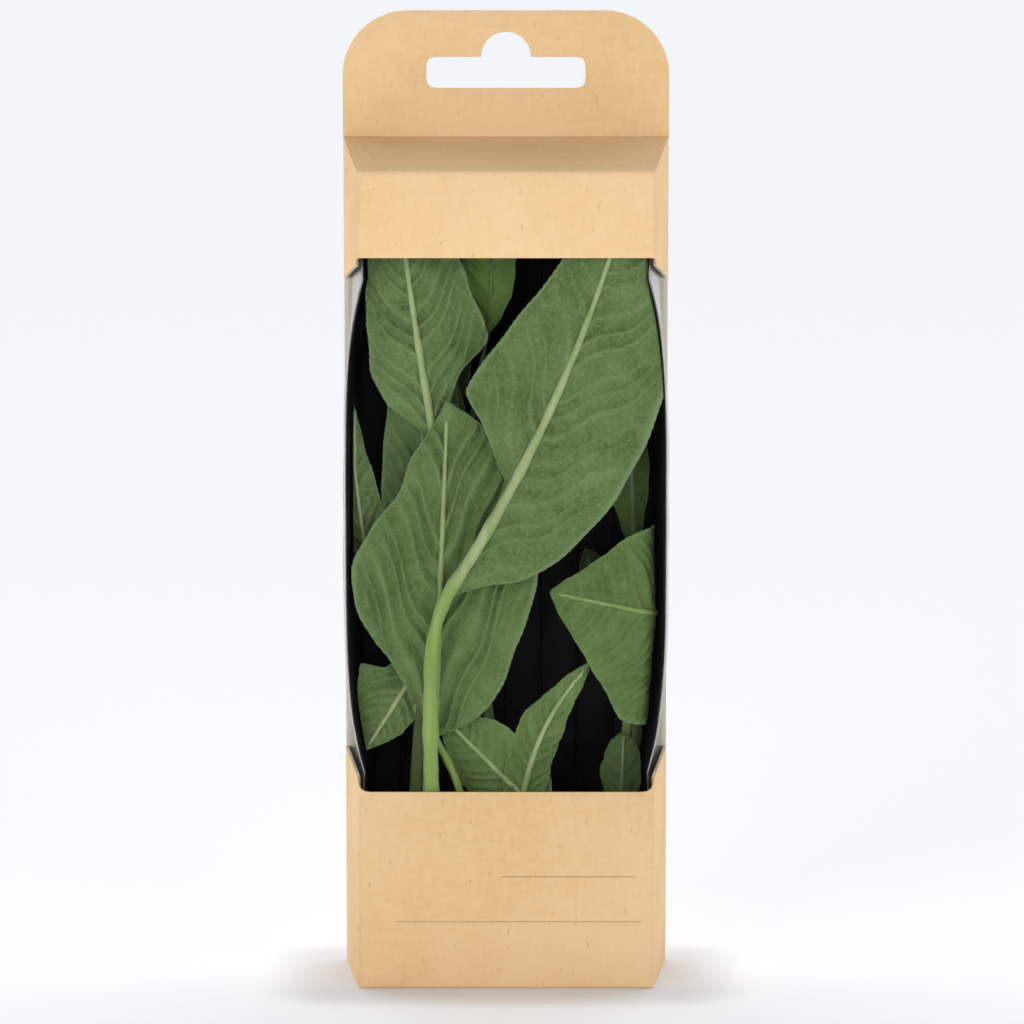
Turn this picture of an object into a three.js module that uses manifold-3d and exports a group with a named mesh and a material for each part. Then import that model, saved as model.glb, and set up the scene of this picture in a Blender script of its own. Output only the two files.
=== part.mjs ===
// Fresh cut sage in a hanging window pack: a folded kraft carton with a hang tab, a clear film
// behind its wrap-round window, a black tray and eight leafy sage sprigs.
// Millimetres. X runs across the pack, Y from its front (-) to its back (+), and Z up.
// The origin is at the middle of the base.
import * as THREE from 'three';
import { mergeVertices } from 'three/addons/utils/BufferGeometryUtils.js';
import Module from 'manifold-3d';

const wasm = await Module();
wasm.setup();

// Carton
const BOARD = 0.6;
const PACK_HEIGHT = 194;
const FRONT_Y = -13.5;
const BACK_Y = 14.5;
const FRONT_WIDTH = 58.6;
const BACK_WIDTH = 65.8;
const SHOULDER_FRONT_Z = 163.2;
const SHOULDER_BACK_Z = 169.1;
const FOLD_RADIUS = 1.3;
const TAB_WIDTH = 65.6;
const TAB_RADIUS = 13;
// Hang slot in the tab: a bar with a round peak
const SLOT_WIDTH = 32;
const SLOT_LOW_Z = 178.5;
const SLOT_HIGH_Z = 184.7;
const SLOT_END_RADIUS = 2;
const SLOT_PEAK_RADIUS = 5;
// Window: level across the front, its two side cuts closing towards the back
const WINDOW_LOW_Z = 39.9;
const WINDOW_HIGH_Z = 146.1;
const WINDOW_CORNER_LOW = 2.6;
const WINDOW_CORNER_HIGH = 1;
const SIDE_CUT_LOW_BACK_Z = 44.5;
const SIDE_CUT_HIGH_BACK_Z = 140.3;
// Window film, which stands proud in the middle of the window
const FILM = 0.3;
const FILM_GAP = 0.3;
const FILM_MARGIN = 5;
const FILM_PROUD_MIDDLE = 1.9;
const FILM_PROUD_CORNER = 1.1;
const FILM_SIDE_SWELL = 3.9;
// Tray, broadest at mid-height like the film
const TRAY_WALL = 0.5;
const TRAY_RIM_Y = -7.5;
const TRAY_BACK_Y = 13.4;
const TRAY_END_HALF = 28.6;
const TRAY_SIDE_SWELL = 3.25;
const TRAY_SWELL_LOW_Z = SIDE_CUT_LOW_BACK_Z - 1;
const TRAY_SWELL_HIGH_Z = SIDE_CUT_HIGH_BACK_Z + 1;
const TRAY_LOW_Z = 2;
const TRAY_HIGH_Z = 163;
const TRAY_DRAFT = 1.1;
const TRAY_RADIUS = 7;
// Sage
const BLADE = 0.7;
const STEM_FOOT_Z = 3.6;
const CLEARANCE = 0.55;
const DRAPE = 0.7;
const TOOTH = 0.022;
const TURN_RADIUS = 3;

const SIDE_SLOPE = (BACK_WIDTH - FRONT_WIDTH) / 2 / (BACK_Y - FRONT_Y);
const SHOULDER_SLOPE = (SHOULDER_BACK_Z - SHOULDER_FRONT_Z) / (BACK_Y - FRONT_Y);

const materials = {
  kraft: new THREE.MeshStandardMaterial({ color: 0xd9ad77, roughness: 0.85, metalness: 0 }),
  film: new THREE.MeshStandardMaterial({
    color: 0xf4f7f8, roughness: 0.08, metalness: 0, transparent: true, opacity: 0.2,
  }),
  tray: new THREE.MeshStandardMaterial({ color: 0x0b0c10, roughness: 0.45, metalness: 0 }),
  sage: new THREE.MeshStandardMaterial({ color: 0x5f7f4c, roughness: 0.8, metalness: 0 }),
};

// Joining and cutting

function solidOf(geometry) {
  const bare = geometry.index ? geometry.toNonIndexed() : geometry.clone();
  for (const name of Object.keys(bare.attributes)) {
    if (name !== 'position') bare.deleteAttribute(name);
  }
  const merged = mergeVertices(bare, 1e-4);
  return new wasm.Manifold(new wasm.Mesh({
    numProp: 3,
    vertProperties: new Float32Array(merged.attributes.position.array),
    triVerts: new Uint32Array(merged.index.array),
  }));
}

function geometryOf(solid) {
  const mesh = solid.getMesh();
  const positions = new Float32Array(mesh.numVert * 3);
  for (let i = 0; i < mesh.numVert; i++) {
    const start = i * mesh.numProp;
    positions.set(mesh.vertProperties.subarray(start, start + 3), i * 3);
  }
  return new THREE.BufferGeometry()
    .setAttribute('position', new THREE.BufferAttribute(positions, 3))
    .setIndex(new THREE.BufferAttribute(new Uint32Array(mesh.triVerts), 1));
}

function named(name, solid, material) {
  const geometry = geometryOf(solid);
  geometry.computeVertexNormals();
  const mesh = new THREE.Mesh(geometry, material);
  mesh.name = name;
  return mesh;
}

// Prisms from outlines

// A closed outline of [a, b, radius] corners, each rounded by its radius.
function roundedShape(corners) {
  const shape = new THREE.Shape();
  const towards = (from, to, distance) => {
    const step = new THREE.Vector2(to[0] - from[0], to[1] - from[1]).setLength(distance);
    return [from[0] + step.x, from[1] + step.y];
  };
  corners.forEach((corner, i) => {
    const before = corners[(i + corners.length - 1) % corners.length];
    const after = corners[(i + 1) % corners.length];
    if (!corner[2]) {
      if (i === 0) shape.moveTo(corner[0], corner[1]);
      else shape.lineTo(corner[0], corner[1]);
      return;
    }
    const enter = towards(corner, before, corner[2]);
    const leave = towards(corner, after, corner[2]);
    if (i === 0) shape.moveTo(enter[0], enter[1]);
    else shape.lineTo(enter[0], enter[1]);
    shape.quadraticCurveTo(corner[0], corner[1], leave[0], leave[1]);
  });
  shape.closePath();
  return shape;
}

function extruded(shape, depth, basis, curveSegments = 4) {
  const geometry = new THREE.ExtrudeGeometry(shape, { depth, bevelEnabled: false, curveSegments });
  return solidOf(geometry.applyMatrix4(basis));
}

// A plan outline of (x, y), raised from z = low to z = high.
function risingPrism(shape, low, high) {
  return extruded(shape, high - low, new THREE.Matrix4().makeTranslation(0, 0, low));
}

// A side outline of (y, z), run from x = low to x = high.
function crossPrism(shape, low, high) {
  const basis = new THREE.Matrix4().makeBasis(
    new THREE.Vector3(0, 1, 0), new THREE.Vector3(0, 0, 1), new THREE.Vector3(1, 0, 0),
  );
  basis.setPosition(low, 0, 0);
  return extruded(shape, high - low, basis);
}

// A front outline of (x, z), run from y = near to y = far.
function depthPrism(shape, near, far, curveSegments = 4) {
  const basis = new THREE.Matrix4().makeBasis(
    new THREE.Vector3(1, 0, 0), new THREE.Vector3(0, 0, 1), new THREE.Vector3(0, -1, 0),
  );
  basis.setPosition(0, far, 0);
  return extruded(shape, far - near, basis, curveSegments);
}

// Carton

// Half the carton's width at depth y, inset from its outer face.
function cartonHalf(y, inset) {
  return FRONT_WIDTH / 2 + (y - FRONT_Y) * SIDE_SLOPE - inset * Math.hypot(1, SIDE_SLOPE);
}

function shoulderZ(y, inset) {
  return SHOULDER_FRONT_Z + (y - FRONT_Y) * SHOULDER_SLOPE - inset * Math.hypot(1, SHOULDER_SLOPE);
}

function boxHull(inset) {
  const near = FRONT_Y + inset;
  const far = BACK_Y - inset;
  const round = FOLD_RADIUS - inset;
  const plan = roundedShape([
    [-cartonHalf(near, inset), near, round],
    [cartonHalf(near, inset), near, round],
    [cartonHalf(far, inset), far, round],
    [-cartonHalf(far, inset), far, round],
  ]);
  const side = roundedShape([
    [near, inset, round],
    [far, inset, round],
    [far, shoulderZ(far, inset), 0],
    [near, shoulderZ(near, inset), round],
  ]);
  return risingPrism(plan, inset, SHOULDER_BACK_Z + 1).intersect(
    crossPrism(side, -BACK_WIDTH, BACK_WIDTH),
  );
}

function hangTab() {
  const low = shoulderZ(BACK_Y, 0) - BOARD;
  const half = TAB_WIDTH / 2;
  const outline = new THREE.Shape();
  outline.moveTo(-half, low);
  outline.lineTo(half, low);
  outline.absarc(half - TAB_RADIUS, PACK_HEIGHT - TAB_RADIUS, TAB_RADIUS, 0, Math.PI / 2, false);
  outline.absarc(TAB_RADIUS - half, PACK_HEIGHT - TAB_RADIUS, TAB_RADIUS, Math.PI / 2, Math.PI, false);
  outline.closePath();
  return depthPrism(outline, BACK_Y - 2 * BOARD, BACK_Y, 8);
}

function hangSlot() {
  const end = SLOT_WIDTH / 2;
  const bar = roundedShape([
    [-end, SLOT_LOW_Z, SLOT_END_RADIUS], [end, SLOT_LOW_Z, SLOT_END_RADIUS],
    [end, SLOT_HIGH_Z, SLOT_END_RADIUS], [-end, SLOT_HIGH_Z, SLOT_END_RADIUS],
  ]);
  const peak = new THREE.Shape();
  peak.moveTo(-SLOT_PEAK_RADIUS, SLOT_HIGH_Z - 1);
  peak.lineTo(SLOT_PEAK_RADIUS, SLOT_HIGH_Z - 1);
  peak.absarc(0, SLOT_HIGH_Z, SLOT_PEAK_RADIUS, 0, Math.PI, false);
  peak.closePath();
  const near = BACK_Y - 4;
  const far = BACK_Y + 2;
  return depthPrism(bar, near, far).add(depthPrism(peak, near, far, 10));
}

function windowCut() {
  const edge = FRONT_WIDTH / 2 + 0.2;
  const face = roundedShape([
    [-edge, WINDOW_LOW_Z, WINDOW_CORNER_LOW], [edge, WINDOW_LOW_Z, WINDOW_CORNER_LOW],
    [edge, WINDOW_HIGH_Z, WINDOW_CORNER_HIGH], [-edge, WINDOW_HIGH_Z, WINDOW_CORNER_HIGH],
  ]);
  const outside = FRONT_Y - 1;
  const inside = BACK_Y - BOARD;
  const side = roundedShape([
    [outside, WINDOW_LOW_Z + WINDOW_CORNER_LOW - 0.2, 0],
    [inside, SIDE_CUT_LOW_BACK_Z, 0],
    [inside, SIDE_CUT_HIGH_BACK_Z, 0],
    [outside, WINDOW_HIGH_Z - WINDOW_CORNER_HIGH, 0],
  ]);
  const inner = FRONT_WIDTH / 2 - FOLD_RADIUS;
  return depthPrism(face, outside, FRONT_Y + 2 * FOLD_RADIUS)
    .add(crossPrism(side, inner, BACK_WIDTH))
    .add(crossPrism(side, -BACK_WIDTH, -inner));
}

function carton() {
  const shell = boxHull(0).subtract(boxHull(BOARD)).subtract(windowCut());
  return named('carton', shell.add(hangTab()).subtract(hangSlot()), materials.kraft);
}

// Window film

// 0 at the two ends of low..high, rising quickly to 1 between them.
function swell(z, low, high) {
  const across = (2 * z - low - high) / (high - low);
  return Math.abs(across) >= 1 ? 0 : 1 - across ** 4;
}

const FILM_NEAR_Y = FRONT_Y + BOARD + FILM_GAP;
const FILM_FAR_Y = BACK_Y - BOARD - FILM_GAP;

// Half widths of the film's outer face at its front and back edges, at height z.
function filmHalves(z) {
  const inset = BOARD + FILM_GAP;
  return [
    cartonHalf(FILM_NEAR_Y, inset)
      + FILM_SIDE_SWELL * swell(z, SIDE_CUT_LOW_BACK_Z - 1, SIDE_CUT_HIGH_BACK_Z + 1),
    cartonHalf(FILM_FAR_Y, inset),
  ];
}

// The radius of the film's two front corners at height z, and the depth of its face beside them.
function filmCorner(z) {
  const share = swell(z, WINDOW_LOW_Z, WINDOW_HIGH_Z);
  return { round: 2 + 2 * share, near: FILM_NEAR_Y - FILM_PROUD_CORNER * share };
}

// One level section of the film's face, from its back left edge round the front to its back right
// edge, moved inwards by inset.
function filmSection(z, inset) {
  const [nearHalf, farHalf] = filmHalves(z);
  const { round, near } = filmCorner(z);
  const crown = (FILM_PROUD_MIDDLE - FILM_PROUD_CORNER) * swell(z, WINDOW_LOW_Z, WINDOW_HIGH_Z);
  const half = [];
  const frontSteps = 5;
  for (let i = 0; i <= frontSteps; i++) {
    const share = i / frontSteps;
    half.push([(nearHalf - round) * share, near - crown * (1 - share ** 2) + inset]);
  }
  const cornerSteps = 4;
  for (let i = 1; i <= cornerSteps; i++) {
    const turn = (Math.PI / 2) * (i / cornerSteps);
    const reach = round - inset;
    half.push([
      nearHalf - round + reach * Math.sin(turn),
      near + round - reach * Math.cos(turn),
    ]);
  }
  const sideSteps = 3;
  for (let i = 1; i <= sideSteps; i++) {
    const along = i / sideSteps;
    half.push([
      nearHalf + (farHalf - nearHalf) * along - inset,
      near + round + (FILM_FAR_Y - near - round) * along,
    ]);
  }
  const mirrored = half.slice(1).reverse().map(([x, y]) => [-x, y]);
  return [...mirrored, ...half].map(([x, y]) => new THREE.Vector3(x, y, z));
}

// The closed solid between two grids of points, outer and inner, with the same rows and columns.
function solidBetween(outer, inner) {
  const rows = outer.length;
  const columns = outer[0].length;
  const positions = [...outer.flat(), ...inner.flat()].flatMap((p) => [p.x, p.y, p.z]);
  const at = (layer, i, j) => layer * rows * columns + i * columns + j;
  const index = [];
  const quad = (a, b, c, d) => index.push(a, b, c, a, c, d);
  for (let i = 0; i < rows - 1; i++) {
    for (let j = 0; j < columns - 1; j++) {
      quad(at(0, i, j), at(0, i, j + 1), at(0, i + 1, j + 1), at(0, i + 1, j));
      index.push(at(1, i, j), at(1, i + 1, j + 1), at(1, i, j + 1));
      index.push(at(1, i, j), at(1, i + 1, j), at(1, i + 1, j + 1));
    }
    quad(at(0, i, 0), at(0, i + 1, 0), at(1, i + 1, 0), at(1, i, 0));
    quad(at(0, i + 1, columns - 1), at(0, i, columns - 1), at(1, i, columns - 1),
      at(1, i + 1, columns - 1));
  }
  for (let j = 0; j < columns - 1; j++) {
    quad(at(0, 0, j + 1), at(0, 0, j), at(1, 0, j), at(1, 0, j + 1));
    quad(at(0, rows - 1, j), at(0, rows - 1, j + 1), at(1, rows - 1, j + 1), at(1, rows - 1, j));
  }
  const geometry = new THREE.BufferGeometry()
    .setAttribute('position', new THREE.BufferAttribute(new Float32Array(positions), 3))
    .setIndex(index);
  return solidOf(geometry);
}

function windowFilm() {
  const low = WINDOW_LOW_Z - FILM_MARGIN;
  const high = WINDOW_HIGH_Z + FILM_MARGIN;
  const levels = [low, WINDOW_LOW_Z + 0.6, 43.5, 45.5, 48, 52, 58, 68, 93, 112, 124, 132, 137, 140,
    141.5, 144, WINDOW_HIGH_Z - 0.6, high];
  const outer = levels.map((z) => filmSection(z, 0));
  const inner = levels.map((z) => filmSection(z, FILM));
  return named('window_film', solidBetween(outer, inner), materials.film);
}

// Tray

// Half the tray's width at height z.
function trayHalf(z) {
  return TRAY_END_HALF + TRAY_SIDE_SWELL * swell(z, TRAY_SWELL_LOW_Z, TRAY_SWELL_HIGH_Z);
}

// The tray's outline at depth y, moved inwards by inset, counter-clockwise from the front.
function trayRing(y, inset) {
  const low = TRAY_LOW_Z + inset;
  const high = TRAY_HIGH_Z - inset;
  const right = [];
  const arcSteps = 4;
  for (let i = 0; i <= arcSteps; i++) {
    const turn = (Math.PI / 2) * (i / arcSteps);
    right.push([
      TRAY_END_HALF - inset - TRAY_RADIUS * (1 - Math.sin(turn)),
      low + TRAY_RADIUS * (1 - Math.cos(turn)),
    ]);
  }
  for (const z of [TRAY_SWELL_LOW_Z, 45, 48, 53, 61, 75, 93, 111, 124, 132, 137, 140,
    TRAY_SWELL_HIGH_Z]) {
    right.push([trayHalf(z) - inset, z]);
  }
  for (let i = arcSteps; i >= 0; i--) {
    const turn = (Math.PI / 2) * (i / arcSteps);
    right.push([
      TRAY_END_HALF - inset - TRAY_RADIUS * (1 - Math.sin(turn)),
      high - TRAY_RADIUS * (1 - Math.cos(turn)),
    ]);
  }
  const left = right.slice().reverse().map(([x, z]) => [-x, z]);
  return [...right, ...left].map(([x, z]) => new THREE.Vector3(x, y, z));
}

function trayHull(wall) {
  const near = TRAY_RIM_Y - (wall ? 1 : 0);
  const far = TRAY_BACK_Y - wall;
  const rim = trayRing(near, wall);
  const floor = trayRing(far, wall + TRAY_DRAFT);
  const count = rim.length;
  const rimCentre = 2 * count;
  const floorCentre = rimCentre + 1;
  const index = [];
  for (let i = 0; i < count; i++) {
    const next = (i + 1) % count;
    index.push(i, count + next, next, i, count + i, count + next);
    index.push(rimCentre, i, next, floorCentre, count + next, count + i);
  }
  const middle = (TRAY_LOW_Z + TRAY_HIGH_Z) / 2;
  const centres = [new THREE.Vector3(0, near, middle), new THREE.Vector3(0, far, middle)];
  const points = [...rim, ...floor, ...centres];
  return solidOf(new THREE.BufferGeometry().setFromPoints(points).setIndex(index));
}

function tray() {
  return named('tray', trayHull(0).subtract(trayHull(TRAY_WALL)), materials.tray);
}

// Sage

// The most |x| that foliage may reach at depth y and height z, inside the film and the tray.
function roomHalf(y, z) {
  const front = y - DRAPE - BLADE / 2;
  const [nearHalf, farHalf] = filmHalves(z);
  const { round, near } = filmCorner(z);
  const share = THREE.MathUtils.clamp((front - near) / (FILM_FAR_Y - near), 0, 1);
  const short = Math.max(near + round - front, 0);
  const corner = round - Math.sqrt(Math.max(round ** 2 - short ** 2, 0));
  const room = nearHalf + (farHalf - nearHalf) * share - corner - FILM - CLEARANCE;
  if (y + BLADE < TRAY_RIM_Y - CLEARANCE) return room;
  const depth = THREE.MathUtils.clamp((y - TRAY_RIM_Y) / (TRAY_BACK_Y - TRAY_RIM_Y), 0, 1);
  return Math.min(room, trayHalf(z) - TRAY_DRAFT * depth - TRAY_WALL - CLEARANCE);
}

// Foliage in the middle of the pack lies a little further forward, against the film.
function draped(x, y, z) {
  const forward = DRAPE * Math.cos((Math.PI * x) / 80) * Math.sin((Math.PI * z) / 190);
  return new THREE.Vector3(x, y - forward, z);
}

// The width at t on a smooth line through [t, width] places, which never swings past them.
function widthThrough(places, t) {
  let i = 0;
  while (i < places.length - 2 && t > places[i + 1][0]) i++;
  const slope = (k) => (places[k + 1][1] - places[k][1]) / (places[k + 1][0] - places[k][0]);
  const tangent = (k) => {
    if (k === 0) return slope(0);
    if (k === places.length - 1) return slope(k - 1);
    const product = slope(k - 1) * slope(k);
    return product <= 0 ? 0 : (2 * product) / (slope(k - 1) + slope(k));
  };
  const [start, startWidth] = places[i];
  const [end, endWidth] = places[i + 1];
  const u = THREE.MathUtils.clamp((t - start) / (end - start), 0, 1);
  const bow = (end - start) * u * (1 - u) * ((1 - u) * tangent(i) - u * tangent(i + 1));
  return startWidth * (1 + 2 * u) * (1 - u) ** 2 + endWidth * (3 - 2 * u) * u ** 2 + bow;
}

// The width of one side of a blade at t, from its base (0) to its tip (1). The side is given as
// [t, width] places, or as [greatest width, fullness towards the base, fullness towards the tip].
function sideWidth(side, t) {
  if (Array.isArray(side[0])) return widthThrough(side, t);
  const [widest, base = 0.7, tip = 0.75] = side;
  const along = THREE.MathUtils.clamp(t, 0.004, 0.996);
  const peak = base / (base + tip);
  const share = (along ** base * (1 - along) ** tip) / (peak ** base * (1 - peak) ** tip);
  return widest * share;
}

// The midrib's point and direction at t, in the plane of x and z.
function midribAt(leaf, t) {
  const base = new THREE.Vector2(...leaf.base);
  const tip = new THREE.Vector2(...leaf.tip);
  const along = tip.clone().sub(base);
  const left = new THREE.Vector2(-along.y, along.x).normalize();
  const control = base.clone().addScaledVector(along, 0.5)
    .addScaledVector(left, 2 * (leaf.bend ?? 0));
  const curve = new THREE.QuadraticBezierCurve(base, control, tip);
  return { point: curve.getPoint(t), direction: curve.getTangent(t) };
}

// A leaf too broad for the pack turns back along the film: x is the place across the flat leaf, y
// its depth and offset the distance behind its middle surface.
function turnedBack(x, y, z, offset) {
  const edge = roomHalf(y, z) - TURN_RADIUS - BLADE / 2 - 1;
  const excess = Math.abs(x) - edge;
  if (excess <= 0) return [x, y + offset];
  const turn = Math.min(excess / TURN_RADIUS, Math.PI / 2);
  const reach = TURN_RADIUS - offset;
  const straight = Math.max(excess - (TURN_RADIUS * Math.PI) / 2, 0);
  return [
    Math.sign(x) * (edge + reach * Math.sin(turn)),
    y + TURN_RADIUS - reach * Math.cos(turn) + straight,
  ];
}

// A point of the blade, at t along it and s across it from -1 to 1, where 1 is the left margin as
// seen from the front with the tip upwards. offset is how far it lies behind the middle surface.
function bladePoint(leaf, t, s, tooth, offset) {
  const { point, direction } = midribAt(leaf, t);
  const reach = sideWidth(s >= 0 ? leaf.left : leaf.right, t);
  const width = Math.max(reach * (1 + tooth * Math.abs(s)), 0.35);
  const arch = (leaf.arch ?? 0.7) * s * s;
  const wave = (leaf.wave ?? 0.35) * Math.abs(s) * Math.sin(9 * t + (s > 0 ? 0.6 : 2.4) + leaf.y);
  const rise = (leaf.lift ?? 0) * (t - 0.5);
  const y = leaf.y + arch + wave + rise;
  const x = point.x - direction.y * width * s;
  const z = point.y + direction.x * width * s;
  if (leaf.turnsBack) return draped(...turnedBack(x, y, z, offset), z);
  const room = roomHalf(y, z);
  return draped(THREE.MathUtils.clamp(x, -room, room), y + offset, z);
}

function blade(leaf) {
  const rows = leaf.rows ?? 10;
  const across = leaf.fine ? [1, 0.5, 0, -0.5, -1] : [1, 0, -1];
  const front = [];
  const back = [];
  for (let i = 0; i <= rows; i++) {
    const tooth = (i % 2 ? 1 : -1) * TOOTH;
    front.push(across.map((s) => bladePoint(leaf, i / rows, s, tooth, -BLADE / 2)));
    back.push(across.map((s) => bladePoint(leaf, i / rows, s, tooth, BLADE / 2)));
  }
  return solidBetween(front, back);
}

// A closed tapering stalk through the given points, thick at its start and thin at its end.
function stalk(points, startRadius, endRadius, steps, sides) {
  const curve = new THREE.CatmullRomCurve3(points, false, 'centripetal');
  const frames = curve.computeFrenetFrames(steps, false);
  const positions = [];
  const index = [];
  for (let i = 0; i <= steps; i++) {
    const at = curve.getPointAt(i / steps);
    const radius = startRadius + (endRadius - startRadius) * (i / steps);
    const room = roomHalf(at.y, at.z) - radius;
    at.x = THREE.MathUtils.clamp(at.x, -room, room);
    for (let j = 0; j < sides; j++) {
      const turn = (2 * Math.PI * j) / sides;
      const out = frames.normals[i].clone().multiplyScalar(Math.cos(turn))
        .addScaledVector(frames.binormals[i], Math.sin(turn));
      const point = at.clone().addScaledVector(out, radius);
      positions.push(point.x, point.y, point.z);
    }
  }
  for (let i = 0; i < steps; i++) {
    for (let j = 0; j < sides; j++) {
      const a = i * sides + j;
      const b = i * sides + ((j + 1) % sides);
      index.push(a, b, b + sides, a, b + sides, a + sides);
    }
  }
  for (let j = 1; j < sides - 1; j++) {
    index.push(0, j + 1, j);
    index.push(steps * sides, steps * sides + j, steps * sides + j + 1);
  }
  const geometry = new THREE.BufferGeometry()
    .setAttribute('position', new THREE.BufferAttribute(new Float32Array(positions), 3))
    .setIndex(index);
  return solidOf(geometry);
}

// The leaf stalk, which runs on along the blade as its raised midrib.
function leafStalk(leaf) {
  const route = leaf.from.map(([x, z, y]) => draped(x, y, z));
  const ribSteps = leaf.fine ? 6 : 3;
  for (let i = 0; i <= ribSteps; i++) {
    route.push(bladePoint(leaf, 0.01 + (0.9 * i) / ribSteps, 0, 0, -BLADE / 2));
  }
  const thick = leaf.thick ?? 0.8;
  return stalk(route, thick, 0.3, leaf.fine ? 14 : 8, leaf.fine ? 6 : 5);
}

function sprig({ name, stem, thick, leaves }) {
  const route = stem.map(([x, z, y]) => draped(x, y, z));
  const solids = [stalk(route, thick, thick * 0.75, 3 * (stem.length - 1), 8)];
  for (const leaf of leaves) solids.push(leafStalk(leaf), blade(leaf));
  return named(name, wasm.Manifold.union(solids), materials.sage);
}

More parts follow.
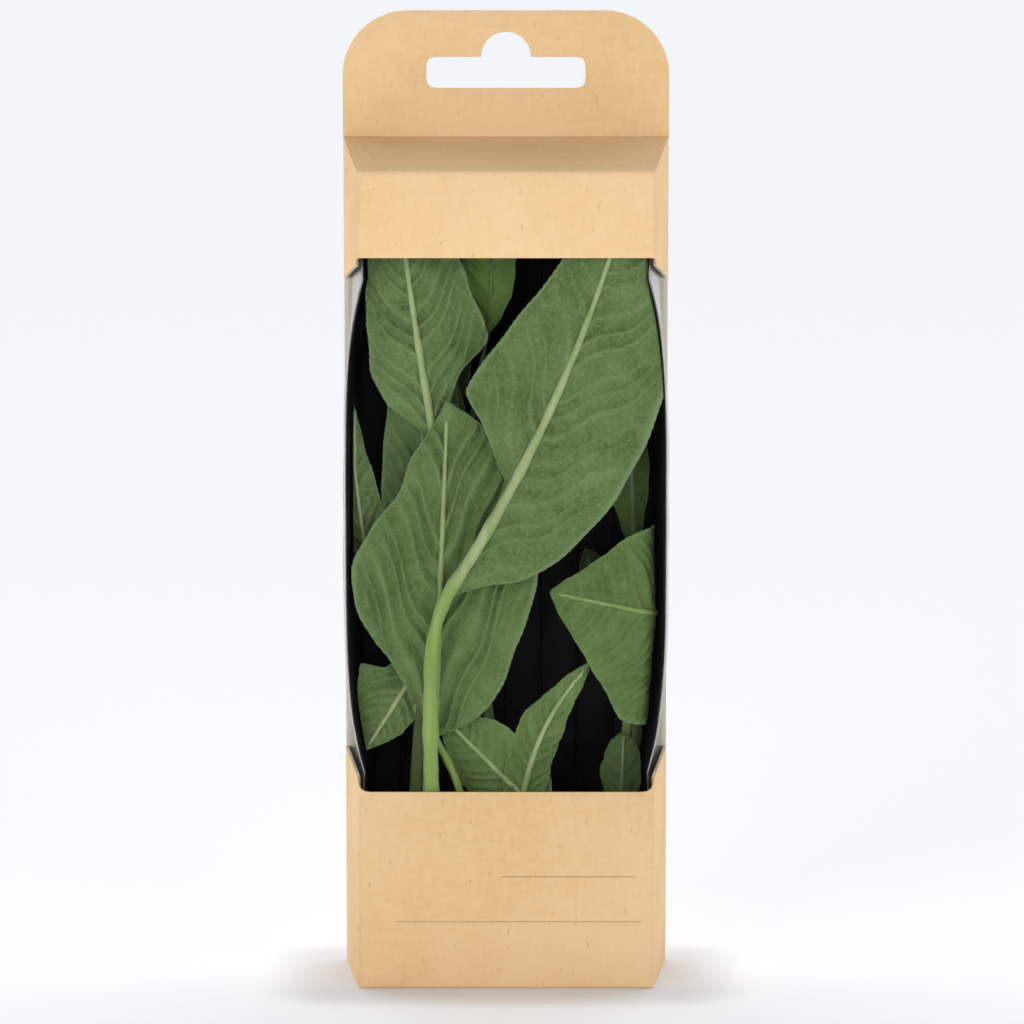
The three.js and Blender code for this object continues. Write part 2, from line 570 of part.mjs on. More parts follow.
// Each sprig keeps to its own depth, front to back, as leaves pressed flat in a pack do.
// base, tip, stem and from are places seen from the front, [x, z], and y is the depth.
const sprigs = [
  {
    name: 'sprig_front',
    thick: 1.5,
    stem: [[-12.6, STEM_FOOT_Z, -10.2], [-13.6, 14, -10.2], [-14.4, 27, -10.2]],
    leaves: [
      {
        base: [-12, 78.6], tip: [24.5, 160], bend: -3.6, y: -10.9, arch: 1.1, wave: 0.3,
        left: [[0, 0.4], [0.265, 0.4], [0.32, 5], [0.375, 10], [0.44, 16.6], [0.5, 16],
          [0.625, 13.6], [0.75, 10], [0.875, 6], [1, 0.4]],
        right: [[0, 0.4], [0.06, 4.4], [0.125, 11.4], [0.25, 17.2], [0.375, 19.6], [0.5, 20],
          [0.625, 19.6], [0.75, 17], [0.875, 11], [1, 0.4]],
        fine: true, rows: 22, thick: 1.7,
        from: [[-14.3, 24, -10.2], [-14.8, 36, -10.3], [-15, 52, -10.4], [-14.9, 64, -10.4],
          [-13.8, 73, -10.6]],
      },
      {
        base: [-9.6, 26], tip: [5, 35], left: [4], right: [4], y: -10.3, rows: 8,
        from: [[-14, 21, -10.2], [-12, 24, -10.2]],
      },
      {
        base: [-17.4, 21], tip: [-27.5, 31], left: [3.6], right: [3.6], y: -10.3, rows: 8,
        from: [[-13.6, 16, -10.2], [-15.6, 18.6, -10.2]],
      },
    ],
  },
  {
    name: 'sprig_middle',
    thick: 1.35,
    stem: [[-6.6, STEM_FOOT_Z, -7.2], [-7.4, 14, -7.2], [-8, 27, -7.2]],
    leaves: [
      {
        base: [-14.2, 50], tip: [-11.6, 117.4], y: -7.5, arch: 0.7, wave: 0.3,
        left: [[0, 0.4], [0.1, 4], [0.22, 9.4], [0.28, 13], [0.4, 17.2], [0.49, 17.6],
          [0.62, 14], [0.74, 8.6], [0.83, 6.6], [0.92, 2.8], [1, 0.4]],
        right: [[0, 0.4], [0.03, 5], [0.1, 10.7], [0.25, 15.1], [0.48, 19], [0.62, 18],
          [0.78, 14.5], [0.92, 8], [1, 0.4]],
        fine: true, rows: 20, thick: 1.1,
        from: [[-8, 24, -7.2], [-8.2, 33, -7.2], [-9.4, 39.5, -7.2], [-11.6, 45, -7.2]],
      },
      {
        base: [-3.4, 24.5], tip: [10, 34], left: [4.2], right: [4.2], y: -7.3, rows: 8,
        from: [[-7.7, 19, -7.2], [-5.4, 22, -7.2]],
      },
      {
        base: [-12, 22], tip: [-26, 32], left: [4], right: [4], y: -7.3, rows: 8,
        from: [[-7.3, 16, -7.2], [-9.8, 19, -7.2]],
      },
    ],
  },
  {
    name: 'sprig_left',
    thick: 1.5,
    stem: [[-19.6, STEM_FOOT_Z, -3.1], [-18.6, 26, -3.1], [-17.4, 48, -3.1], [-15.8, 64, -3.1],
      [-15.2, 84, -3.1]],
    leaves: [
      {
        base: [-14, 108.6], tip: [-21.6, 162], bend: 0.6, y: -4.5, arch: 0.8, wave: 0.3,
        left: [[0, 0.4], [0.09, 4.1], [0.19, 8.3], [0.31, 10.3], [0.47, 9.5], [0.7, 8.1],
          [0.88, 5], [1, 0.4]],
        right: [[0, 0.4], [0.12, 3.6], [0.24, 7.3], [0.365, 14.2], [0.52, 12], [0.66, 10.6],
          [0.85, 7], [1, 0.4]],
        fine: true, rows: 16, thick: 1.1,
        from: [[-15.2, 80, -3.1], [-15.1, 90, -3.2], [-14.4, 101, -3.7]],
      },
      {
        base: [-16.4, 70], tip: [-16.6, 136], left: [8.2], right: [8.5], y: -2.2, arch: 0.3,
        wave: 0.2, rows: 10, from: [[-15.7, 62, -3.1], [-16, 66, -2.7]],
      },
      {
        base: [-15.4, 66.8], tip: [-28.2, 46.7], y: -3, arch: 0.4, wave: 0.3, rows: 12,
        left: [[0, 0.4], [0.2, 3.6], [0.48, 5.3], [0.77, 3.8], [1, 0.4]],
        right: [[0, 0.4], [0.2, 4], [0.32, 5.6], [0.41, 10], [0.68, 6.8], [0.85, 4.6], [1, 0.4]],
        from: [[-15.9, 71, -3.1], [-15.7, 69, -3]],
      },
      {
        base: [-23, 68], tip: [-30.8, 118], bend: 2, left: [3], right: [5.2, 0.5, 1], y: -1.6,
        arch: 0.2, wave: 0.1, rows: 10, from: [[-17, 52, -3.1], [-19.6, 60, -2.3]],
      },
    ],
  },
  {
    name: 'sprig_right',
    thick: 1.3,
    stem: [[20.4, STEM_FOOT_Z, 2.2], [21.6, 22, 2.2], [23.4, 42, 2.2], [25.6, 60, 2.2]],
    leaves: [
      {
        base: [37.4, 72.9], tip: [8.8, 78.9], y: -4.6, arch: 0.3, wave: 0.25, turnsBack: true,
        left: [[0, 10], [0.12, 22.4], [0.33, 22.7], [0.48, 17.7], [0.66, 12], [0.85, 6], [1, 0.4]],
        right: [[0, 9], [0.15, 16], [0.32, 17.4], [0.475, 15.7], [0.71, 9.1], [0.85, 4.8], [1, 0.4]],
        fine: true, rows: 18, thick: 0.95,
        from: [[25.2, 57, 2.2], [27, 64, 3.2], [28.8, 70, 4.2]],
      },
      {
        base: [23.2, 34], tip: [23.6, 50], left: [4.4], right: [4.2], y: -1, arch: 0.5, rows: 10,
        thick: 0.7, from: [[21.7, 24, 2.2], [22.8, 29, 0.6]],
      },
      {
        base: [17.4, 21], tip: [5, 30], left: [3.8], right: [3.8], y: -1.2, rows: 6,
        from: [[21.1, 14, 2.2], [19.4, 18, 0.6]],
      },
    ],
  },
  {
    name: 'sprig_small',
    thick: 1.2,
    stem: [[12.4, STEM_FOOT_Z, -4.4], [11, 14, -4.4], [8.2, 30, -4.4]],
    leaves: [
      {
        base: [7.4, 33.4], tip: [-12.8, 53.8], y: -3.9, arch: 0.5, rows: 12, fine: true,
        left: [[0, 0.4], [0.2, 6], [0.51, 7.2], [0.81, 4.4], [1, 0.4]],
        right: [[0, 0.4], [0.1, 5.5], [0.21, 7], [0.62, 7.5], [0.81, 5.5], [0.93, 2.6], [1, 0.4]],
        thick: 0.85, from: [[8.8, 27, -4.4], [8.1, 31, -4.2]],
      },
      {
        base: [3, 34.3], tip: [17, 64.2], bend: 2.9, y: -3.7, arch: 0.4, lift: 2.4, rows: 14,
        left: [[0, 0.4], [0.15, 4.5], [0.5, 5], [0.75, 2.9], [0.9, 1.5], [1, 0.4]],
        right: [[0, 0.4], [0.2, 4.4], [0.5, 3.8], [0.75, 2.7], [0.9, 1.5], [1, 0.4]],
        fine: true, thick: 0.8, from: [[8.8, 27, -4.4], [6, 31, -4.6]],
      },
      {
        base: [14.6, 20], tip: [17.6, 34], left: [2.8], right: [2.8], y: -4.4, rows: 6,
        from: [[10.8, 14, -4.4], [13, 17, -4.4]],
      },
    ],
  },
  {
    name: 'sprig_back',
    thick: 1.4,
    stem: [[-0.6, STEM_FOOT_Z, 2], [-1.6, 36, 2], [-4.4, 58, 2], [-6.2, 84, 2], [-7.2, 112, 2]],
    leaves: [
      {
        base: [-3.8, 130], tip: [-1.4, 160], left: [6.4], right: [4.8], y: 0.9, arch: 0.5, rows: 10,
        thick: 0.9, from: [[-7.1, 108, 2], [-6, 118, 1.8]],
      },
      {
        base: [-1, 84], tip: [19, 140], bend: -1.5, left: [7], right: [9], y: 2, arch: 0.5,
        rows: 10, thick: 0.9, from: [[-5.6, 70, 2], [-3.4, 77, 2]],
      },
      {
        base: [-9.4, 70], tip: [-18, 112], left: [8], right: [7], y: 2.6, arch: 0.4, rows: 10,
        from: [[-5, 62, 2], [-7, 66, 2.2]],
      },
      {
        base: [-10.6, 122], tip: [-17, 158], left: [6.6], right: [6], y: 2.2, arch: 0.5, rows: 8,
        from: [[-7.1, 108, 2], [-8.8, 115, 2]],
      },
      {
        base: [3.6, 22], tip: [14.6, 31], left: [4], right: [4], y: 2.1, rows: 6,
        from: [[-1, 15, 2], [1.4, 18.6, 2]],
      },
      {
        base: [-6, 20], tip: [-20, 29], left: [4], right: [4], y: 2.1, rows: 6,
        from: [[-1, 14, 2], [-3.4, 17, 2]],
      },
    ],
  },
  {
    name: 'sprig_back_right',
    thick: 1.3,
    stem: [[22.4, 4.8, 7.4], [24.6, 26, 7.4], [26.4, 44, 7.4], [26.6, 66, 7.4]],
    leaves: [
      {
        base: [26, 86], tip: [23.4, 130], left: [5], right: [3.8], y: 6.3, arch: 0.5, rows: 10,
        from: [[26.7, 63, 7.4], [26.8, 74, 7.2]],
      },
      {
        base: [22.6, 62], tip: [16, 86], left: [4], right: [6], y: 7.9, arch: 0.3, rows: 8,
        from: [[26.2, 50, 7.4], [24.6, 56, 7.6]],
      },
      {
        base: [20.4, 20], tip: [9, 30], left: [4], right: [4], y: 7.2, rows: 6,
        from: [[23.6, 13, 7.4], [22, 17, 7.4]],
      },
    ],
  },
  {
    name: 'sprig_back_left',
    thick: 1.4,
    stem: [[-17, 4.8, 7.2], [-17.4, 30, 7.2], [-17.2, 58, 7.2], [-14.4, 78, 7.2], [-11, 104, 7.2]],
    leaves: [
      {
        base: [-20.6, 62], tip: [-25.4, 88], left: [5.4], right: [6], y: 6.6, arch: 0.4, rows: 8,
        from: [[-17.2, 52, 7.2], [-18.8, 57, 7]],
      },
      {
        base: [-9.6, 84], tip: [3, 124], left: [8], right: [7], y: 6.4, arch: 0.5, rows: 10,
        from: [[-14.8, 74, 7.2], [-12.4, 79, 7]],
      },
      {
        base: [-11.4, 112], tip: [-14, 154], left: [8], right: [6], y: 6.8, arch: 0.5, rows: 10,
        from: [[-11.4, 100, 7.2], [-11.2, 106, 7]],
      },
      {
        base: [-13.4, 25], tip: [-2, 34], left: [4.4], right: [4.4], y: 7.1, rows: 6,
        from: [[-17.4, 19, 7.2], [-15.4, 22, 7.2]],
      },
      {
        base: [-21, 22], tip: [-26.4, 34], left: [3.6], right: [2.4], y: 7.1, rows: 6,
        from: [[-17.2, 14, 7.2], [-19.2, 18.4, 7.2]],
      },
    ],
  },
];

const pack = new THREE.Group();
pack.name = 'sage_pack';
pack.add(carton(), windowFilm(), tray(), ...sprigs.map(sprig));

export default pack;
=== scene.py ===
"""Dresses a packed sage bunch: the kraft carton, its window film, the black tray, eight sage
sprigs and the studio round them. Shapes are worked out in millimetres and made in metres.
Materials, lights and the camera are given in metres."""

import math
from dataclasses import dataclass

import bmesh
import bpy
import numpy as np
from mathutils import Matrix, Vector


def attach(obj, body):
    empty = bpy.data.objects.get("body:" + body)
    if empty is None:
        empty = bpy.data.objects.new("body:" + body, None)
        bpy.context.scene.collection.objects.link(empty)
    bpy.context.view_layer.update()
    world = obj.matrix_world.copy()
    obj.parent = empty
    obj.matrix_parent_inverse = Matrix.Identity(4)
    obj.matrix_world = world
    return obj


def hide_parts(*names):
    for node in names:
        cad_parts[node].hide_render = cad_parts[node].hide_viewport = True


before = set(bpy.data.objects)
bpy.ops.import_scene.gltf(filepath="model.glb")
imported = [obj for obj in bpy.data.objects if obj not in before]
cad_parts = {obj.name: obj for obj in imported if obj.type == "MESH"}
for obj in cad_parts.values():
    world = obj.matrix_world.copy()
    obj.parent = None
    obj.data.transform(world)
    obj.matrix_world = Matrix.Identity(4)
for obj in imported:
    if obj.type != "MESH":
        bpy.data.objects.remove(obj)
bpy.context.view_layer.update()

bl_info = {
    "name": "Packed sage bunch",
    "version": (1, 0, 0),
    "blender": (4, 5, 0),
    "location": "3D View > Sidebar > Sage pack",
    "description": "Dresses a kraft window carton of fresh sage",
    "category": "Object",
}

MM = 0.001

# Carton
BOARD = 0.6
BOARD_FACE_SHARE = 0.7
PACK_HEIGHT = 194
FRONT_Y = -13.5
BACK_Y = 14.5
FRONT_WIDTH = 58.6
BACK_WIDTH = 65.8
SHOULDER_FRONT_Z = 163.2
SHOULDER_BACK_Z = 169.1
TAB_WIDTH = 65.6
TAB_RADIUS = 13
SIDE_SLOPE = (BACK_WIDTH - FRONT_WIDTH) / 2 / (BACK_Y - FRONT_Y)
SHOULDER_SLOPE = (SHOULDER_BACK_Z - SHOULDER_FRONT_Z) / (BACK_Y - FRONT_Y)
SEAM_X = 24.5
SEAM_LOW_Z = 4
FLAP_INSET = 3.2
SLIT_LENGTH = 9
JOIN_HALF = 0.12
PLY_JOIN_HALF = 0.06
FLAT_WITHIN = math.radians(0.6)
EASED_FROM = math.radians(50)
BOARD_SHARP_FROM = math.radians(32)
# The height, left end and right end of each ruled line, in metres
RULED_LINES = ((0.0228, -0.001, 0.026), (0.0137, -0.022, 0.027))
# Window and film
WINDOW_LOW_Z = 39.9
WINDOW_HIGH_Z = 146.1
SIDE_CUT_LOW_BACK_Z = 44.5
SIDE_CUT_HIGH_BACK_Z = 140.3
FILM_GAP = 0.3
FILM_MARGIN = 5
FILM_PROUD_MIDDLE = 1.9
FILM_PROUD_CORNER = 1.1
FILM_SIDE_SWELL = 3.9
FILM_NEAR_Y = FRONT_Y + BOARD + FILM_GAP
FILM_FAR_Y = BACK_Y - BOARD - FILM_GAP
FILM_SETBACK = 0.02
FILM_LEVELS = 150
FILM_STEPS = (44, 8, 20)
WRINKLE_REACH = 26
# Tray
TRAY_WALL = 0.5
TRAY_RIM_Y = -7.5
TRAY_BACK_Y = 13.4
TRAY_END_HALF = 28.6
TRAY_SIDE_SWELL = 3.25
TRAY_SWELL_LOW_Z = SIDE_CUT_LOW_BACK_Z - 1
TRAY_SWELL_HIGH_Z = SIDE_CUT_HIGH_BACK_Z + 1
TRAY_LOW_Z = 2
TRAY_HIGH_Z = 163
TRAY_DRAFT = 1.1
TRAY_RADIUS = 7
TRAY_FILLET = 1.6
RIB_COUNT = 7
RIB_LENGTH = 130
RIB_MIDDLE_Z = 82.5
# Sage
SOLID_FILM = 0.3
SOLID_BLADE = 0.7
STEM_FOOT_Z = 3.6
CLEARANCE = 0.55
DRAPE = 0.7
TURN_RADIUS = 3
VEIN_GAP_SHARE = 0.028
VEIN_GAP_LEAST = 1.2
CROSS_VEIN_GAP = 1.55
NET_CELL = 1.5
FINE_NET_CELL = 0.85
TOOTH_GAP = 1.5
ROUNDED_MARGIN = 0.045
ROUNDED_END = 0.015
LEAST_WIDTH = 0.3
END_WIDTH = 0.4
RIB_TIP_RADIUS = 0.3
STALK_STEP = 0.7
STEM_STEP = 0.8
STALK_SIDE = 1.9
HAIR_RADIUS = 0.022
# Studio
VIEW_ELEVATION = math.radians(7)
VIEW_DISTANCE = 0.9
VIEW_TARGET = Vector((0.0012, -0.0135, 0.096))
VIEW_LENS = 160.45
VIEW_SENSOR = 36
FLOOR_HALF = 60000
# Half the width and depth of the pack's foot, round which the floor's glow is dimmed as a painted
# contact shadow
PAINTED_SHADOW_HALF_WIDTH = 0.0325
PAINTED_SHADOW_HALF_DEPTH = 0.0145
LAMP_AIM = Vector((0, 0, 0.09))
LAMP_SIZE = (0.8, 0.6)


# Node trees


class Value:
    """A socket of a node tree, so that sums and products of sockets read as sums and products."""

    def __init__(self, nodes, socket):
        self.nodes = nodes
        self.socket = socket

    def math(self, operation, *others):
        values = dict(enumerate((self, *others)))
        return self.nodes.add("ShaderNodeMath", {"operation": operation}, values)

    def __add__(self, other):
        return self.math("ADD", other)

    def __radd__(self, other):
        return self.math("ADD", other)

    def __sub__(self, other):
        return self.math("SUBTRACT", other)

    def __rsub__(self, other):
        values = {0: other, 1: self}
        return self.nodes.add("ShaderNodeMath", {"operation": "SUBTRACT"}, values)

    def __mul__(self, other):
        return self.math("MULTIPLY", other)

    def __rmul__(self, other):
        return self.math("MULTIPLY", other)

    def __pow__(self, other):
        return self.math("POWER", other)

    def over(self, low, high):
        """0 below low, 1 above high, and a smooth rise between them."""
        settings = {"interpolation_type": "SMOOTHSTEP"}
        return self.nodes.add("ShaderNodeMapRange", settings, {0: self, 1: low, 2: high})


class Nodes:
    """A shader or geometry node tree, with one method that adds any node."""

    def __init__(self, tree):
        self.tree = tree
        self.tree.nodes.clear()

    def add(self, kind, settings=None, values=None, output=0):
        node = self.tree.nodes.new(kind)
        for name, setting in (settings or {}).items():
            setattr(node, name, setting)
        for name, value in (values or {}).items():
            if isinstance(value, Value):
                self.tree.links.new(value.socket, node.inputs[name])
            else:
                node.inputs[name].default_value = value
        return Value(self, node.outputs[output]) if node.outputs else node

    def mix(self, factor, first, second):
        """The colour first where factor is 0, and second where it is 1."""
        first = first if isinstance(first, Value) else (*first[:3], 1)
        second = second if isinstance(second, Value) else (*second[:3], 1)
        settings = {"data_type": "RGBA"}
        return self.add("ShaderNodeMix", settings, {0: factor, 6: first, 7: second}, output=2)

    def coated(self, colour, *coats):
        """The colour with coats of (factor, colour) laid over it in turn."""
        for factor, coat in coats:
            colour = self.mix(factor, colour, coat)
        return colour

    def place(self, stretch=(1, 1, 1), turn=(0, 0, 0)):
        """The place on the piece, in metres, stretched and turned for a pattern."""
        values = {
            "Vector": self.add("ShaderNodeTexCoord", output="Object"),
            "Scale": stretch,
            "Rotation": turn,
        }
        return self.add("ShaderNodeMapping", {}, values)

    def noise(self, scale, detail=3, stretch=(1, 1, 1), turn=(0, 0, 0)):
        values = {"Vector": self.place(stretch, turn), "Scale": scale, "Detail": detail}
        return self.add("ShaderNodeTexNoise", {}, values)

    def axes(self, vector):
        """The x, y and z of a vector."""
        parts = self.add("ShaderNodeSeparateXYZ", {}, {0: vector})
        return [Value(self, part) for part in parts.socket.node.outputs]

    def attribute(self, name):
        return self.add("ShaderNodeAttribute", {"attribute_name": name}, output="Fac")

    def bump(self, height, distance, strength=1):
        values = {"Height": height, "Distance": distance, "Strength": strength}
        return self.add("ShaderNodeBump", {}, values)

    def surface(self, shader):
        self.add("ShaderNodeOutputMaterial", {}, {"Surface": shader})

    def solid_surface(self, colour, roughness, specular, others):
        values = {"Base Color": colour, "Roughness": roughness, "Specular IOR Level": specular}
        self.surface(self.add("ShaderNodeBsdfPrincipled", {}, {**values, **others}))


def new_material(name):
    material = bpy.data.materials.new(name)
    material.use_nodes = True
    return material, Nodes(material.node_tree)


# Materials


DOWNY_SHEEN = {"Sheen Weight": 0.12, "Sheen Roughness": 0.5}


def kraft_board(settings):
    """Brown kraft with fibres and flecks, a pale inner face, darker cut edges, and two thin
    ruled lines across the lower front panel."""
    material, nodes = new_material("printed_kraft")
    mottle = nodes.noise(34, 5)
    fibres = nodes.noise(300, 4, stretch=(1, 1, 3), turn=(0.4, 0.7, 0.3))
    cross_fibres = nodes.noise(320, 4, stretch=(3, 1, 1), turn=(0.3, 0.5, 0.4))
    grain = (fibres + cross_fibres) * 0.5
    flecks = nodes.noise(900, 2, stretch=(1, 1, 0.45)).over(0.67, 0.76)
    pale_flecks = nodes.noise(1100, 2, stretch=(0.4, 1, 1)).over(0.7, 0.78)
    board = nodes.coated(
        settings.shade,
        (mottle.over(0.3, 0.7), settings.colour),
        (grain.over(0.38, 0.64) * 0.26, settings.light),
        (flecks * 0.3, settings.fleck),
        (pale_flecks * 0.3, settings.light),
        (nodes.attribute("cut") * 0.55, settings.cut_edge))
    across, depth, height = nodes.axes(nodes.add("ShaderNodeTexCoord", output="Object"))
    front = 1 - depth.over(-0.0134, -0.0130)
    for level, left, right in RULED_LINES:
        line = 1 - (height - level).math("ABSOLUTE").over(0.00008, 0.00022)
        reach = across.over(left, left + 0.0002) * (1 - across.over(right - 0.0002, right))
        board = nodes.mix(line * reach * front * 0.42, board, settings.ruled_line)
    inner = nodes.mix(grain.over(0.3, 0.7) * 0.4, settings.inner_shade, settings.inner)
    colour = nodes.mix(nodes.attribute("inner"), board, inner)
    nodes.solid_surface(colour, 0.74 + grain * 0.2, 0.28, {
        "Normal": nodes.bump(grain + flecks * 0.2, 0.00006, 0.55)})
    return material


def clear_film(settings):
    """Glossy where it is seen at a glancing angle, and clear from the front."""
    material, nodes = new_material("glossy_film")
    glance = nodes.add("ShaderNodeFresnel", {}, {"IOR": settings.glance})
    ripple = nodes.noise(46, 2, stretch=(1, 1, 0.35))
    gloss = nodes.add("ShaderNodeBsdfAnisotropic", {}, {
        "Color": (1, 1, 1, 1),
        "Roughness": 0.09,
        "Normal": nodes.bump(ripple, 0.0004, 0.35),
    })
    clear = nodes.add("ShaderNodeBsdfTransparent", {}, {"Color": (1, 1, 1, 1)})
    nodes.surface(nodes.add("ShaderNodeMixShader", {}, {
        0: glance * settings.shine, 1: clear, 2: gloss}))
    return material


def black_plastic(settings):
    """Formed black sheet: a fine pebble, faint drawing marks and a low sheen."""
    material, nodes = new_material("formed_black_sheet")
    pebble = nodes.noise(1500, 2)
    marks = nodes.noise(60, 4, stretch=(4, 4, 0.5))
    colour = nodes.mix(marks.over(0.35, 0.7), settings.colour, settings.bloom)
    nodes.solid_surface(colour, 0.5 + marks * 0.2, 0.14, {
        "Normal": nodes.bump(pebble, 0.00005, 0.5)})
    return material


def sage_leaf(settings):
    """The felted underside with its pale veins and rim, and the greener upper side."""
    material, nodes = new_material("sage_leaf")
    patches = nodes.noise(95, 4)
    felt = nodes.noise(1300, 3)
    grains = nodes.noise(520, 3)
    mottle = nodes.noise(270, 2)
    spots = nodes.noise(210, 1).over(0.74, 0.79)
    vein = nodes.attribute("vein")
    under = nodes.coated(
        settings.under_shade,
        (patches.over(0.35, 0.62), settings.under),
        (mottle.over(0.48, 0.7) * 0.55, settings.under_shade),
        (mottle.over(0.5, 0.3) * 0.45, settings.under_light),
        (grains.over(0.35, 0.65) * 0.3, settings.under_light),
        (vein * 0.55, settings.vein),
        (felt.over(0.52, 0.72) * 0.22, settings.down))
    upper = nodes.coated(
        settings.upper_shade,
        (patches.over(0.3, 0.7), settings.upper),
        (vein * 0.35, settings.upper_shade),
        (felt.over(0.55, 0.75) * 0.12, settings.down))
    colour = nodes.coated(
        under,
        (nodes.attribute("upper"), upper),
        (nodes.attribute("rim") * 0.6, settings.rim),
        (nodes.attribute("young") * 0.6, settings.young),
        (spots * 0.35, settings.spot),
        # Painted shade: the leaf's shaded share of a dark colour
        (nodes.attribute("shaded"), settings.deep))
    nodes.solid_surface(colour, 0.6 + felt * 0.3, 0.22, {
        **DOWNY_SHEEN, "Normal": nodes.bump(felt * 0.4 + grains, 0.00012, 0.6)})
    return material


def sage_stalk(settings):
    """Stems and leaf stalks: bright green below, paler where a stalk runs on as a midrib."""
    material, nodes = new_material("sage_stalk")
    streaks = nodes.noise(420, 3, stretch=(1, 1, 0.12))
    felt = nodes.noise(1500, 2)
    stem = nodes.mix(streaks.over(0.3, 0.7), settings.stem_shade, settings.stem)
    rib = nodes.mix(streaks.over(0.3, 0.7), settings.rib_shade, settings.rib)
    colour = nodes.coated(
        stem,
        (nodes.attribute("pale"), rib),
        (felt.over(0.55, 0.72) * 0.3, settings.down),
        # Painted shade: the stalk's shaded share of a dark colour
        (nodes.attribute("shaded"), settings.deep))
    nodes.solid_surface(colour, 0.52 + felt * 0.25, 0.25, {
        **DOWNY_SHEEN, "Normal": nodes.bump(streaks + felt * 0.3, 0.00015, 0.6)})
    return material


# Meshes


def placed(name, mesh):
    """An object of the mesh, in the scene."""
    piece = bpy.data.objects.new(name, mesh)
    bpy.context.scene.collection.objects.link(piece)
    return piece


def new_piece(name, points, faces, material, smooth=True):
    """An object from points in millimetres."""
    mesh = bpy.data.meshes.new(name)
    mesh.from_pydata((np.asarray(points, float) * MM).tolist(), [], faces)
    mesh.materials.append(material)
    mesh.polygons.foreach_set("use_smooth", [smooth] * len(mesh.polygons))
    mesh.update()
    return placed(name, mesh)


def remove(piece):
    mesh = piece.data
    bpy.data.objects.remove(piece)
    bpy.data.meshes.remove(mesh)


def baked(piece):
    """The piece with its modifiers made part of its mesh."""
    bpy.context.view_layer.update()
    shown = piece.evaluated_get(bpy.context.evaluated_depsgraph_get())
    mesh = bpy.data.meshes.new_from_object(shown)
    piece.modifiers.clear()
    spare = piece.data
    piece.data = mesh
    mesh.name = piece.name
    bpy.data.meshes.remove(spare)
    return piece


def seat(piece, node):
    """The piece stands for a node of the frame: it hides the node's imported part and hangs from
    the root body.
    """
    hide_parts(node)
    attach(piece, "root")


def set_values(mesh, domain, values):
    """Attributes of a mesh, from a number for each of its points or faces, by name."""
    for name, numbers in values.items():
        layer = mesh.attributes.new(name, "FLOAT", domain)
        layer.data.foreach_set("value", np.asarray(numbers, np.float32))


def face_outwards(mesh):
    """Turns every face of a closed mesh outwards."""
    form = bmesh.new()
    form.from_mesh(mesh)
    bmesh.ops.recalc_face_normals(form, faces=form.faces)
    form.to_mesh(mesh)
    form.free()


def grid_faces(rows, columns, start=0, closed=False):
    """Four-sided faces over a grid of points, whose columns may close into rings."""
    across = columns if closed else columns - 1
    i, j = np.meshgrid(np.arange(rows - 1), np.arange(across), indexing="ij")
    i, j = i.ravel(), j.ravel()
    right = (j + 1) % columns
    corners = [i * columns + j, i * columns + right, (i + 1) * columns + right,
               (i + 1) * columns + j]
    return (np.stack(corners, axis=1) + start).tolist()


# Shared shapes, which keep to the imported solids


def swell(z, low, high):
    """0 at the two ends of low..high, rising quickly to 1 between them."""
    across = (2 * np.asarray(z, float) - low - high) / (high - low)
    return np.where(np.abs(across) >= 1, 0.0, 1 - across ** 4)


def carton_half(y, inset):
    """Half the carton's width at depth y, to a surface that lies inset inside its sides."""
    return FRONT_WIDTH / 2 + (y - FRONT_Y) * SIDE_SLOPE - inset * math.hypot(1, SIDE_SLOPE)


def shoulder_z(y):
    return SHOULDER_FRONT_Z + (y - FRONT_Y) * SHOULDER_SLOPE


def film_halves(z):
    """Half the film's width near its front corners and at its back edges."""
    inset = BOARD + FILM_GAP
    bulge = FILM_SIDE_SWELL * swell(z, SIDE_CUT_LOW_BACK_Z - 1, SIDE_CUT_HIGH_BACK_Z + 1)
    return carton_half(FILM_NEAR_Y, inset) + bulge, carton_half(FILM_FAR_Y, inset)


def film_corner(z):
    """The radius of the film's front corners, and how far forward they come."""
    share = swell(z, WINDOW_LOW_Z, WINDOW_HIGH_Z)
    return 2 + 2 * share, FILM_NEAR_Y - FILM_PROUD_CORNER * share


def tray_half(z):
    return TRAY_END_HALF + TRAY_SIDE_SWELL * swell(z, TRAY_SWELL_LOW_Z, TRAY_SWELL_HIGH_Z)


def room_half(y, z):
    """The most that foliage may reach to either side at depth y and height z."""
    front = y - DRAPE - SOLID_BLADE / 2
    near_half, far_half = film_halves(z)
    corner_radius, near = film_corner(z)
    share = np.clip((front - near) / (FILM_FAR_Y - near), 0, 1)
    short = np.clip(near + corner_radius - front, 0, corner_radius)
    corner = corner_radius - np.sqrt(corner_radius ** 2 - short ** 2)
    room = near_half + (far_half - near_half) * share - corner - SOLID_FILM - CLEARANCE
    depth = np.clip((y - TRAY_RIM_Y) / (TRAY_BACK_Y - TRAY_RIM_Y), 0, 1)
    tray_room = tray_half(z) - TRAY_DRAFT * depth - TRAY_WALL - CLEARANCE
    in_tray = y + SOLID_BLADE >= TRAY_RIM_Y - CLEARANCE
    return np.where(in_tray, np.minimum(room, tray_room), room)


def draped(x, y, z):
    """Foliage in the middle of the pack lies a little further forward, against the film."""
    forward = DRAPE * np.cos(math.pi * x / 80) * np.sin(math.pi * z / 190)
    return np.stack([x, y - forward, z + 0 * x], axis=-1)


# Carton


def ring_cutter(name, outer, inner, near, far):
    """A closed band between two outlines of (x, z) with as many points each, from near to far."""
    count = len(outer)
    points = []
    for outline, y in ((outer, near), (outer, far), (inner, far), (inner, near)):
        points += [(x, y, z) for x, z in outline]
    faces = []
    for loop in range(4):
        after = (loop + 1) % 4
        for i in range(count):
            step = (i + 1) % count
            faces.append((loop * count + i, loop * count + step, after * count + step,
                          after * count + i))
    return new_piece(name, points, faces, None, smooth=False)


def arc(centre_x, centre_z, radius, start, end, steps):
    turns = [start + (end - start) * i / steps for i in range(steps + 1)]
    return [(centre_x + radius * math.cos(a), centre_z + radius * math.sin(a)) for a in turns]


